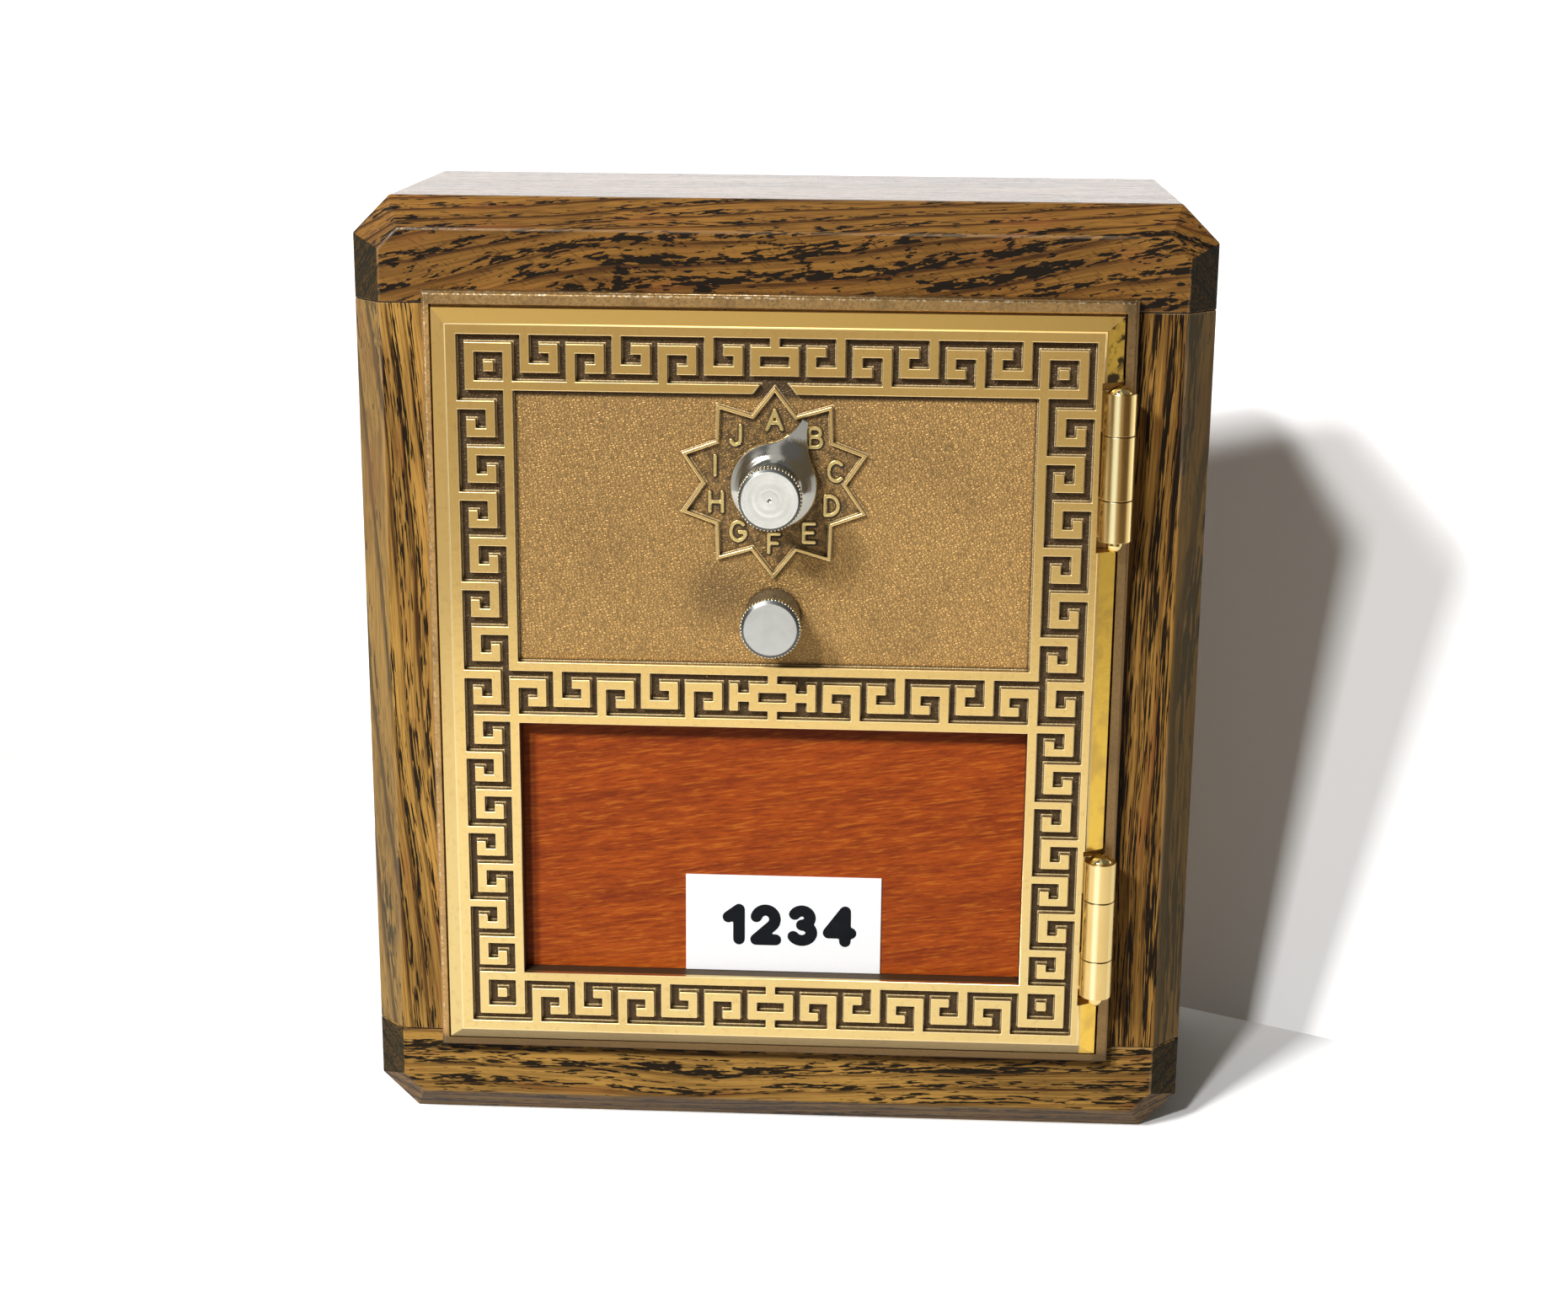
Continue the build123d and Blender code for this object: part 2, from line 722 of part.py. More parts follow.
# Lock case: a tray on the door's back, with corner posts and a bolt slot in its left side
case_width = case_left + case_right
case_height = star_z + case_top - latch_z + case_bottom
case_centre = ((case_right - case_left) / 2, (star_z + case_top + latch_z - case_bottom) / 2)
stud_x = -stud_place
with BuildPart() as lock_case:
    with BuildSketch(door(door_back)):
        with Locations(case_centre):
            Rectangle(case_width, case_height)
    extrude(amount=-case_depth)
    with BuildSketch(door(case_floor)):
        with Locations(case_centre):
            Rectangle(case_width - 2 * case_wall, case_height - 2 * case_wall)
    extrude(amount=case_wall - case_depth, mode=Mode.SUBTRACT)
    with BuildSketch(door(case_floor)):
        with Locations(*post_places):
            Circle(post)
    extrude(amount=case_wall - case_depth)
    with BuildSketch(door(case_floor)):
        with Locations((0, star_z)):
            Circle(spindle_boss)
    extrude(amount=door_back - wheel_start + wheel_play - case_floor)
    with Locations(door(door_back)):
        with Locations((0, star_z), (0, latch_z)):
            Cylinder(spindle + spindle_fit, 4 * case_wall, mode=Mode.SUBTRACT)
        with Locations(*post_places):
            Cylinder(bolt_shank + bolt_fit, 2 * case_depth, mode=Mode.SUBTRACT)
        with Locations((stud_x, bolt_z)):
            Cylinder(stud + bolt_fit, 4 * case_wall, mode=Mode.SUBTRACT)
    with BuildSketch(Plane.YZ.offset(door_shift - case_left)):
        with Locations((depth(bolt_y - bolt_thickness / 2), middle + bolt_z)):
            Rectangle(bolt_thickness + 2 * bolt_play, bolt_height + 2 * bolt_play)
    extrude(amount=case_wall, mode=Mode.SUBTRACT)
lock_case.part.label = "lock_case"
export_step(lock_case.part, "parts/lock_case.step")

with BuildPart() as lock_cover:
    with BuildSketch(door(door_back - case_depth)):
        with Locations(case_centre):
            Rectangle(case_width, case_height)
        with Locations(*post_places):
            Circle(bolt_shank + bolt_fit, mode=Mode.SUBTRACT)
        with Locations((0, star_z)):
            Circle(spindle_window, mode=Mode.SUBTRACT)
    extrude(amount=-cover_thickness)
lock_cover.part.label = "lock_cover"
export_step(lock_cover.part, "parts/lock_cover.step")

with BuildPart() as case_screws:
    for seat in back_planes(post_places, door_back - case_depth - cover_thickness):
        pan_screw(seat, cover_thickness + case_depth + case_screw_bite)
case_screws.part.label = "case_screws"
export_step(case_screws.part, "parts/case_screws.step")


def knurled(radius):
    """Outline of a grip with straight knurling."""
    Circle(radius)
    with PolarLocations(radius, knurl_count):
        Circle(knurl_notch, mode=Mode.SUBTRACT)


# Dial pointer: a teardrop plate with concave flanks up to its tip, and a coned hub
with BuildPart() as dial_pointer:
    dial_face = door(pointer_back)
    pointer_plane = Plane(
        origin=dial_face.from_local_coords(Vector(0, star_z, 0)),
        x_dir=(cos(radians(pointer_angle)), 0, -sin(radians(pointer_angle))),
        z_dir=(0, -1, 0),
    )
    with BuildSketch(pointer_plane):
        with BuildLine():
            left = (-pointer_radius * sin(radians(pointer_left)),
                    pointer_radius * cos(radians(pointer_left)))
            right = (pointer_radius * sin(radians(pointer_right)),
                     pointer_radius * cos(radians(pointer_right)))
            TangentArc(left, (-pointer_tip_half, pointer_tip), tangent=(
                cos(radians(pointer_left)), sin(radians(pointer_left))))
            Line((-pointer_tip_half, pointer_tip), (pointer_tip_half, pointer_tip))
            TangentArc(right, (pointer_tip_half, pointer_tip), tangent=(
                -cos(radians(pointer_right)), sin(radians(pointer_right))))
            ThreePointArc(right, (0, -pointer_radius), left)
        make_face()
    extrude(amount=pointer_edge)
    chamfer(dial_pointer.faces().sort_by(Axis.Y)[0].edges(), pointer_chamfer)
    with BuildSketch(pointer_plane.offset(pointer_edge)):
        Circle(pointer_radius - 2 * pointer_chamfer)
    with BuildSketch(pointer_plane.offset(pointer_edge + pointer_hub_height)):
        Circle(pointer_hub)
    loft()
    with BuildSketch(pointer_plane):
        Circle(spindle + press_fit)
    extrude(amount=pointer_edge + pointer_hub_height, mode=Mode.SUBTRACT)
dial_pointer.part.label = "dial_pointer"
export_step(dial_pointer.part, "parts/dial_pointer.step")

# Dial knob: a neck on the pointer's hub, a knurled grip and a crowned face
knob_back = pointer_back + pointer_edge + pointer_hub_height
knob_front = knob_back + knob_neck_length + knob_knurl_length
with BuildPart() as dial_knob:
    with BuildSketch(door(knob_back)):
        with Locations((0, star_z)):
            Circle(knob_neck)
    extrude(amount=knob_neck_length)
    with BuildSketch(door(knob_back + knob_neck_length)):
        with Locations((0, star_z)):
            knurled(knob_radius)
    extrude(amount=knob_knurl_length)
    with BuildSketch(door(knob_front)):
        with Locations((0, star_z)):
            Circle(knob_radius - knurl_notch)
    with BuildSketch(door(knob_front + knob_crown)):
        with Locations((0, star_z)):
            Circle(knob_radius - knurl_notch - knob_crown)
    loft()
    with Locations(door(knob_front + knob_crown)):
        with Locations((0, star_z)):
            Cone(0, dimple, 2 * dimple, mode=Mode.SUBTRACT)
    with BuildSketch(door(knob_back)):
        with Locations((0, star_z)):
            Circle(spindle + press_fit)
    extrude(amount=knob_front - knob_floor - knob_back, mode=Mode.SUBTRACT)
dial_knob.part.label = "dial_knob"
export_step(dial_knob.part, "parts/dial_knob.step")

# Dial spindle from the knob to the back of the wheel pack, tapped for its end screw
pack_start = door_back - wheel_start
pack_end = pack_start - 3 * wheel_pitch + wheel_play
with BuildPart() as dial_spindle:
    with BuildSketch(door(knob_front - knob_floor)):
        with Locations((0, star_z)):
            Circle(spindle)
    extrude(amount=pack_end - knob_front + knob_floor)
    with BuildSketch(door(pack_end)):
        with Locations((0, star_z)):
            Circle(bolt_shank + bolt_fit)
    extrude(amount=wheel_pitch, mode=Mode.SUBTRACT)
dial_spindle.part.label = "dial_spindle"
export_step(dial_spindle.part, "parts/dial_spindle.step")

# Three cupped wheels on the spindle. Each is a web with a rim behind it, open at one
# gate, and a hub with the fly that the next wheel's drop pin pushes round.
for n, name in enumerate(("front_wheel", "middle_wheel", "drive_wheel")):
    wheel_face = pack_start - n * wheel_pitch
    bore = spindle + (press_fit if name == "drive_wheel" else spindle_fit)
    with BuildPart() as disc:
        with BuildSketch(door(wheel_face)):
            with Locations((0, star_z)):
                Circle(wheel)
        extrude(amount=-wheel_web - wheel_rim)
        with BuildSketch(door(wheel_face - wheel_web)):
            with Locations((0, star_z)):
                Circle(wheel - wheel_rim_wall)
            with Locations((-wheel, star_z)):
                Rectangle(2 * wheel_rim_wall + gate, gate)
        extrude(amount=-wheel_rim, mode=Mode.SUBTRACT)
        with BuildSketch(door(wheel_face)):
            with Locations((0, star_z)):
                Circle(wheel_hub)
        extrude(amount=wheel_play - wheel_pitch)
        if name != "drive_wheel":
            with BuildSketch(door(wheel_face - wheel_web - wheel_play)):
                with Locations((fly_reach / 2, star_z)):
                    Rectangle(fly_reach, fly_width)
            extrude(amount=-fly_length)
        if name != "front_wheel":
            drop = asin((fly_width / 2 + drop_pin + spindle_fit) / drop_pin_radius)
            with BuildSketch(door(wheel_face)):
                with Locations((drop_pin_radius * cos(drop),
                                star_z + drop_pin_radius * sin(drop))):
                    Circle(drop_pin)
            extrude(amount=drop_pin_length)
        with BuildSketch(door(wheel_face)):
            with Locations((0, star_z)):
                Circle(bore)
        extrude(amount=-wheel_pitch, mode=Mode.SUBTRACT)
    disc.part.label = name
    export_step(disc.part, f"parts/{name}.step")

with BuildPart() as spindle_washer:
    with BuildSketch(door(pack_end)):
        with Locations((0, star_z)):
            Circle(washer)
            Circle(bolt_shank + bolt_fit, mode=Mode.SUBTRACT)
    extrude(amount=-washer_thickness)
spindle_washer.part.label = "spindle_washer"
export_step(spindle_washer.part, "parts/spindle_washer.step")

with BuildPart() as spindle_screw:
    for seat in back_planes([(0, star_z)], pack_end - washer_thickness):
        pan_screw(seat, washer_thickness + wheel_pitch - wheel_play)
spindle_screw.part.label = "spindle_screw"
export_step(spindle_screw.part, "parts/spindle_screw.step")

# Latch knob, its spindle, and the cam whose crank pin throws the bolt. At rest the bolt
# is drawn back, so the crank leans to the right by half its turn.
latch_back = floor + latch_clearance
latch_front = latch_back + latch_length
with BuildPart() as latch_knob:
    with BuildSketch(door(latch_back)):
        with Locations((0, latch_z)):
            Circle(latch_flank)
    extrude(amount=latch_length - latch_knurl_length)
    with BuildSketch(door(latch_front - latch_knurl_length)):
        with Locations((0, latch_z)):
            knurled(latch_radius)
    extrude(amount=latch_knurl_length - knob_crown)
    with BuildSketch(door(latch_front - knob_crown)):
        with Locations((0, latch_z)):
            Circle(latch_radius - knurl_notch)
    with BuildSketch(door(latch_front)):
        with Locations((0, latch_z)):
            Circle(latch_radius - knurl_notch - knob_crown)
    loft()
    with BuildSketch(door(latch_back)):
        with Locations((0, latch_z)):
            Circle(spindle + press_fit)
    extrude(amount=latch_length - knob_floor, mode=Mode.SUBTRACT)
latch_knob.part.label = "latch_knob"
export_step(latch_knob.part, "parts/latch_knob.step")

cam_front = case_floor - cam_play
cam_back = cam_front - cam_thickness
with BuildPart() as latch_spindle:
    with BuildSketch(door(latch_front - knob_floor)):
        with Locations((0, latch_z)):
            Circle(spindle)
    extrude(amount=cam_back - clip_thickness - latch_front + knob_floor)
latch_spindle.part.label = "latch_spindle"
export_step(latch_spindle.part, "parts/latch_spindle.step")

half_turn = asin(throw / 2 / crank)
crank_place = (crank * sin(half_turn), latch_z + crank * cos(half_turn))
with BuildPart() as latch_cam:
    with BuildSketch(door(cam_front)):
        with Locations((0, latch_z)):
            Circle(cam_hub)
        with Locations(crank_place):
            Circle(cam_nose)
        make_hull()
        with Locations((0, latch_z)):
            Circle(spindle + press_fit, mode=Mode.SUBTRACT)
    extrude(amount=-cam_thickness)
    with BuildSketch(door(cam_back)):
        with Locations(crank_place):
            Circle(crank_pin)
    extrude(amount=bolt_y - bolt_thickness - cam_back)
latch_cam.part.label = "latch_cam"
export_step(latch_cam.part, "parts/latch_cam.step")

with BuildPart() as latch_clip:
    with BuildSketch(door(cam_back)):
        with Locations((0, latch_z)):
            Circle(clip)
            Circle(spindle + press_fit, mode=Mode.SUBTRACT)
    extrude(amount=-clip_thickness)
latch_clip.part.label = "latch_clip"
export_step(latch_clip.part, "parts/latch_clip.step")

# Bolt: a flat bar with a fork for the crank pin and a slot for the guide stud
fence_x = -wheel - fence_post_gap - fence_post_width / 2
rivet_places = [(fence_x + side * rivet_spacing / 2, bolt_z) for side in (-1, 1)]
with BuildPart() as latch_bolt:
    with BuildSketch(door(bolt_y)):
        bar(-bolt_tip, bolt_z - bolt_height / 2, bolt_tail, bolt_z + bolt_height / 2)
        with Locations((crank_place[0], bolt_z - bolt_height / 2)):
            SlotCenterToCenter(2 * (fork_depth - crank_pin - crank_play),
                               2 * (crank_pin + crank_play), rotation=90,
                               mode=Mode.SUBTRACT)
        with Locations((stud_x + throw / 2, bolt_z)):
            SlotCenterToCenter(throw, 2 * (stud + crank_play), mode=Mode.SUBTRACT)
        with Locations(*rivet_places):
            Circle(rivet + press_fit, mode=Mode.SUBTRACT)
    extrude(amount=-bolt_thickness)
latch_bolt.part.label = "latch_bolt"
export_step(latch_bolt.part, "parts/latch_bolt.step")

with BuildPart() as bolt_stud:
    with BuildSketch(door(door_back - case_wall + stud_bite)):
        with Locations((stud_x, bolt_z)):
            Circle(stud)
    stud_seat = bolt_y - bolt_thickness - bolt_play
    extrude(amount=stud_seat - door_back + case_wall - stud_bite)
    with BuildSketch(door(stud_seat)):
        with Locations((stud_x, bolt_z)):
            Circle(stud_head)
    extrude(amount=-stud_head_height)
bolt_stud.part.label = "bolt_stud"
export_step(bolt_stud.part, "parts/bolt_stud.step")

# Fence: a foot riveted to the bolt, a post, and one arm behind each wheel with a pin
# that passes through the gate. At rest the pins stand inside the wheels' rims.
foot_back = bolt_y - bolt_thickness
arm_fronts = [
    pack_start - n * wheel_pitch - wheel_web - wheel_rim - (wheel_gap - fence_arm) / 2
    for n in range(3)
]
post_bottom = bolt_z + bolt_height / 2 + bolt_play
with BuildPart() as bolt_fence:
    with BuildSketch(door(foot_back)):
        with Locations((fence_x, bolt_z)):
            Rectangle(fence_foot_width, bolt_height)
    extrude(amount=-fence_foot_thickness)
    with BuildSketch(door(foot_back)):
        bar(fence_x - fence_post_width / 2, bolt_z, fence_x + fence_post_width / 2, post_bottom)
    extrude(amount=-fence_foot_thickness)
    with BuildSketch(door(arm_fronts[0])):
        bar(fence_x - fence_post_width / 2, post_bottom, fence_x + fence_post_width / 2,
            star_z + fence_arm_height / 2)
    extrude(amount=arm_fronts[2] - fence_arm - arm_fronts[0])
    for arm_front in arm_fronts:
        with BuildSketch(door(arm_front)):
            bar(fence_x, star_z - fence_arm_height / 2, -fence_seat,
                star_z + fence_arm_height / 2)
            with Locations((-fence_seat, star_z)):
                Circle(fence_pin)
        extrude(amount=-fence_arm)
        with BuildSketch(door(arm_front)):
            with Locations((-fence_seat, star_z)):
                Circle(fence_pin)
        extrude(amount=fence_pin_length)
    with BuildSketch(door(foot_back)):
        with Locations(*rivet_places):
            Circle(rivet + press_fit)
    extrude(amount=-fence_foot_thickness, mode=Mode.SUBTRACT)
bolt_fence.part.label = "bolt_fence"
export_step(bolt_fence.part, "parts/bolt_fence.step")

with BuildPart() as fence_rivets:
    with BuildSketch(door(bolt_y)):
        with Locations(*rivet_places):
            Circle(rivet)
    extrude(amount=-bolt_thickness - fence_foot_thickness)
fence_rivets.part.label = "fence_rivets"
export_step(fence_rivets.part, "parts/fence_rivets.step")
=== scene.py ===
"""Looks of the oak strongbox, made as an add-on that is run as a script.

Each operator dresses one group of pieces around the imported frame: eased oak boards with
their own grain, the antiqued brass casting with its raised letters, polished hinges, the
cherry window with its number card, the dial, the latch knob, the lock behind the door,
the fasteners, and a plain studio stage with the camera. Sizes are in metres.
"""

import json
from math import atan2, cos, pi, radians, sin

import bmesh
import bpy
from bpy.props import FloatProperty, FloatVectorProperty, IntProperty, PointerProperty, StringProperty
from mathutils import Euler, Matrix, Vector, geometry

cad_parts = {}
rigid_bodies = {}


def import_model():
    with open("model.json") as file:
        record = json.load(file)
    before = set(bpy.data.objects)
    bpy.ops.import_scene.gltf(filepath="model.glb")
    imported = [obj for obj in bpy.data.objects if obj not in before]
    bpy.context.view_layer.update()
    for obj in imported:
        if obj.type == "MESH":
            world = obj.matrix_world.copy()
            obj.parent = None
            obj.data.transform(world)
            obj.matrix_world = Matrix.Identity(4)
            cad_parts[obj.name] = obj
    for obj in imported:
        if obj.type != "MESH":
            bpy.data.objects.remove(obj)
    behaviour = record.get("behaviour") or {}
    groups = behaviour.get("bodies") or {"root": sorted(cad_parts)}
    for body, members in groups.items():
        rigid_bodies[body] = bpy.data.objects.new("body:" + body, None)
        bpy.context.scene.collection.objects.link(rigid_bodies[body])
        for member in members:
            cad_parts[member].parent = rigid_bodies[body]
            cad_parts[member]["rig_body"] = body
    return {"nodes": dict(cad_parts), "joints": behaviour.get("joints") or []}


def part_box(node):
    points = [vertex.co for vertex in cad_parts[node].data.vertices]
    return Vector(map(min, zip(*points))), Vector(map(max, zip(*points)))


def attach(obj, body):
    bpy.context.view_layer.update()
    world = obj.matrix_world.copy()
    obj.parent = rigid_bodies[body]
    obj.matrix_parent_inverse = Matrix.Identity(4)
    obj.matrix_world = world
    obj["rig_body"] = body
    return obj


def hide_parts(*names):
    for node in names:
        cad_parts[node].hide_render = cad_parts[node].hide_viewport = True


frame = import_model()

bl_info = {
    "name": "Oak strongbox",
    "version": (1, 0, 0),
    "blender": (4, 5, 0),
    "location": "View3D > Sidebar > Strongbox",
    "description": "Dresses the packed strongbox: oak, cast brass, hinges, dial, window and lock",
    "category": "Object",
}

MM = 0.001
DEGREES = 180 / pi
NODES = frame["nodes"]
JOINTS = {joint["name"]: joint for joint in frame["joints"]}
DIAL = Vector(JOINTS["dial_turn"]["pos_m"])
LATCH = Vector(JOINTS["latch_turn"]["pos_m"])
DOOR_LOW, DOOR_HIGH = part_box("door_casting")
FRAME_LOW, FRAME_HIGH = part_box("door_frame")
CARD_LOW, CARD_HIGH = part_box("number_card")
BOX_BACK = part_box("top_board")[1].y

# Casting: Y of its sunk field, half sizes of the field, the grained panel's half width and
# ends, the foot of the bevel by the hinges, and the star's two radii
FIELD = DOOR_LOW.y + 1.5 * MM
FIELD_HALF_WIDTH = 58.3 * MM
FIELD_HALF_HEIGHT = 67.3 * MM
PANEL_HALF_WIDTH = 47.75 * MM
PANEL_LOW = 96.45 * MM
PANEL_HIGH = 147.65 * MM
HINGE_BEVEL = 59.6 * MM
STAR_TIP = 17.9 * MM
STAR_WAIST = 13.3 * MM
STAR_POINTS = 10

# Edges above this angle, in degrees, are rounded, on boards and sheets from this length
SHARP = 32
LONG = 4 * MM

# Slotted screw heads
HEAD_HEIGHT = 1.4 * MM
SLOT_WIDTH = 0.7 * MM
SLOT_DEPTH = 0.6 * MM
HEAD_EDGE = 0.12 * MM

# Stage: how far the floor and backdrop reach, where the backdrop stands, and how bright the
# paper is to the box, to the camera and in reflections
FLOOR_REACH = 0.42
BACKDROP_FOOT = Vector((0.1059, 0.0251, 0.0))
BACKDROP_TURN = -27.0
BACKDROP_LEAN = 34.0
BACKDROP_REACH = 0.9
FLOOR_BOUNCE = 0.36
CAMERA_GAIN = 1.50
MIRRORED_GAIN = 1.35

# Each lamp: name, bearing to the left of the front, height above level, distance, size, power
LAMPS = (
    ("near_lamp", 20.0, 36.0, 1.5, 0.10, 10.5),
    ("key_lamp", 34.0, 37.0, 1.3, 0.16, 14.5),
)
LAMP_AIM = Vector((0.0, 0.0, 0.09))

# World: its brightness by direction, what diffuse light loses of it, and its dim places' tint
WORLD_FRONT = 0.62
WORLD_SIDE = 0.16
WORLD_LEFT = 0.80
WORLD_BACK = 1.5
WORLD_TOP = 0.15
WORLD_RIGHT = 0.85
WORLD_DAMP = 0.70
WORLD_SHADE = (1.0, 0.80, 0.55)
WHITE = (1.0, 1.0, 1.0)


def colour(name, text, default):
    """A colour property, given as linear red, green and blue."""
    return FloatVectorProperty(name=name, description="Colour of " + text, default=default,
                               subtype="COLOR", size=3, min=0.0, max=1.0)


def length(name, text, default):
    """A length property in metres."""
    return FloatProperty(name=name, description=text, default=default, unit="LENGTH",
                         precision=5)


class OakSettings(bpy.types.PropertyGroup):
    light: colour("Light wood", "the paler wood between the pores", (0.300, 0.142, 0.030))
    dark: colour("Dark wood", "the darker late wood", (0.062, 0.026, 0.008))
    ruddy: colour("Ruddy wood", "the warmer patches", (0.260, 0.090, 0.026))
    pore: colour("Pores", "the open pores that took the stain", (0.006, 0.005, 0.004))
    end: colour("End grain", "the cut ends of the boards", (0.017, 0.015, 0.007))
    # Painted sheen on the side boards' faces other than the front
    painted_sheen: colour("Dull wax", "the haze on the side boards", (0.175, 0.132, 0.062))
    worn: colour("Worn edge", "the rubbed edges", (0.62, 0.46, 0.30))
    edge: length("Eased edge", "Width of the eased edges of each board", 0.30 * MM)


class BrassSettings(bpy.types.PropertyGroup):
    raised: colour("Raised work", "the rubbed raised faces", (0.75, 0.57, 0.235))
    # Raised and upper work blend from the foot to the top, so that the raised work is painted darker
    # towards the top as painted shade
    upper: colour("Upper work", "the raised faces near the top", (0.69, 0.435, 0.130))
    rubbed: colour("Rubbed edge", "the edges of the raised work", (0.95, 0.76, 0.42))
    panel: colour("Panel", "the grained panel", (0.49, 0.290, 0.098))
    patina: colour("Patina", "the antiqued recesses", (0.088, 0.057, 0.029))
    frame: colour("Frame", "the frame's flange", (0.52, 0.315, 0.118))
    # Frame specks are painted glints on the frame's top and left outer edges, partly rubbed wear
    speck: colour("Frame specks", "the rubbed specks on the frame", (1.0, 0.86, 0.62))
    bright: colour("Bright brass", "polished brass", (0.93, 0.72, 0.30))
    # The next two hinge colours are painted reflection: dark reflection on the barrels' flanks, and a
    # bright highlight band down their front
    painted_dark_reflection: colour("Tarnish", "the hinges' dull places", (0.47, 0.26, 0.072))
    band: colour("Hinge band", "the hinges' brightest band", (1.0, 0.90, 0.52))
    # Top bevel is a painted tone for the light on the up-facing bevel; hinge side is partly polish,
    # partly painted reflection
    sloped: colour("Top bevel", "the bevel along the top", (0.78, 0.49, 0.135))
    yellow: colour("Hinge side", "the rubbed bevel by the hinges", (0.93, 0.60, 0.10))
    edge: length("Rounded edge", "Width of the rounded edges of the relief", 0.19 * MM)


class SteelSettings(bpy.types.PropertyGroup):
    satin: colour("Dial nickel", "the dial knob's face", (0.95, 0.94, 0.86))
    latch: colour("Latch nickel", "the latch knob's face", (0.58, 0.58, 0.545))
    pointer: colour("Pointer nickel", "the pointer", (0.56, 0.54, 0.475))
    dark: colour("Dark nickel", "the knobs' flanks", (0.20, 0.21, 0.20))
    knurl: colour("Ridges", "the knobs' ridges", (0.86, 0.84, 0.70))
    ridges: IntProperty(name="Ridges", description="Number of ridges round each knob", default=54,
                        min=12, max=120)
    ridge: length("Ridge width", "Width of one ridge of the grips", 0.36 * MM)


class WindowSettings(bpy.types.PropertyGroup):
    cherry: colour("Cherry", "the cherry panel", (0.37, 0.066, 0.008))
    streak: colour("Streaks", "the cherry's darker streaks", (0.15, 0.020, 0.004))
    fleck: colour("Flecks", "the cherry's light flecks", (0.60, 0.175, 0.020))
    glow: colour("Glow", "the cherry's lighter clouds", (0.56, 0.125, 0.014))
    card: colour("Card", "the number card", (0.93, 0.94, 0.96))
    ink: colour("Ink", "the card's digits", (0.005, 0.006, 0.008))
    digits: StringProperty(name="Digits", description="Plain number on the card", default="1234")
    digit_height: length("Digit height", "Height of the digits", 8.4 * MM)
    digit_stroke: length("Digit stroke", "Width of the digits' strokes", 2.3 * MM)


class StageSettings(bpy.types.PropertyGroup):
    lens: FloatProperty(name="Focal length", default=57.43,
                        description="Focal length in millimetres on a 36 mm sensor")
    camera: FloatVectorProperty(name="Camera", description="Place of the camera", unit="LENGTH",
                                default=(0.0225, -0.4857, 0.2217), size=3)
    aim: FloatVectorProperty(name="Aim", default=(15.08, 2.70, 0.46), size=3,
                             description="Pitch below level, turn to the left, and tilt, in degrees")
    floor: colour("Floor", "the floor and backdrop", (0.82, 0.82, 0.82))


SETTINGS = {
    "strongbox_oak": OakSettings,
    "strongbox_brass": BrassSettings,
    "strongbox_steel": SteelSettings,
    "strongbox_window": WindowSettings,
    "strongbox_stage": StageSettings,
}


def calculation(operation, swapped=False):
    """A method of Value that adds a Math node; swapped ones put the value itself last."""
    def method(self, *others):
        values = (*others, self) if swapped else (self, *others)
        return self.tree.get("ShaderNodeMath", dict(enumerate(values)), operation=operation)
    return method


class Value:
    """What a node works out: a number, a colour or a place. Its sums, products and methods
    add the nodes that carry on from it."""

    __add__ = __radd__ = calculation("ADD")
    __sub__ = calculation("SUBTRACT")
    __rsub__ = calculation("SUBTRACT", True)
    __mul__ = __rmul__ = calculation("MULTIPLY")
    __truediv__ = calculation("DIVIDE")
    __rtruediv__ = calculation("DIVIDE", True)
    __pow__ = calculation("POWER")
    __abs__ = calculation("ABSOLUTE")
    root = calculation("SQRT")
    fraction = calculation("FRACT")
    folded = calculation("PINGPONG")
    bearing = calculation("ARCTAN2")
    larger = calculation("MAXIMUM")

    def __init__(self, tree, socket):
        self.tree = tree
        self.socket = socket

    def span(self, low, high, out_low=0.0, out_high=1.0):
        """The number eased from one range to another, and held at its ends."""
        return self.tree.get("ShaderNodeMapRange", {
            "Value": self, "From Min": low, "From Max": high, "To Min": out_low,
            "To Max": out_high}, interpolation_type="SMOOTHSTEP")

    def past(self, edge, start, end, out_low=0.0, out_high=1.0):
        """The number eased over the millimetres from start to end past an edge."""
        return self.span(edge + start * MM, edge + end * MM, out_low, out_high)

    def mix(self, first, second):
        """The first colour, turning into the second as this number goes to 1."""
        return self.tree.get("ShaderNodeMix", {0: self, 6: first, 7: second}, 2,
                             data_type="RGBA")

    def bump(self, depth, **under):
        """A normal from this height between 0 and 1, which stands for a depth in metres."""
        return self.tree.get("ShaderNodeBump", {"Height": self, "Distance": depth,
                                                "Strength": 1.0, **under})

    def axes(self):
        """The X, Y and Z of this place or direction."""
        node = self.tree.add("ShaderNodeSeparateXYZ", {0: self})
        return [Value(self.tree, socket) for socket in node.outputs]

    def mapped(self, scale=(1, 1, 1), shift=(0, 0, 0), turn=0.0):
        """This place scaled, turned about Y by degrees, and shifted."""
        return self.tree.get("ShaderNodeMapping", {
            "Vector": self, "Scale": scale, "Location": shift, "Rotation": (0, radians(turn), 0)})

    def noise(self, scale=1.0, detail=2.0, rough=0.5, warp=0.0):
        """Smooth noise from 0 to 1 at this place."""
        return self.tree.get("ShaderNodeTexNoise", {
            "Vector": self, "Scale": scale, "Detail": detail, "Roughness": rough,
            "Distortion": warp})


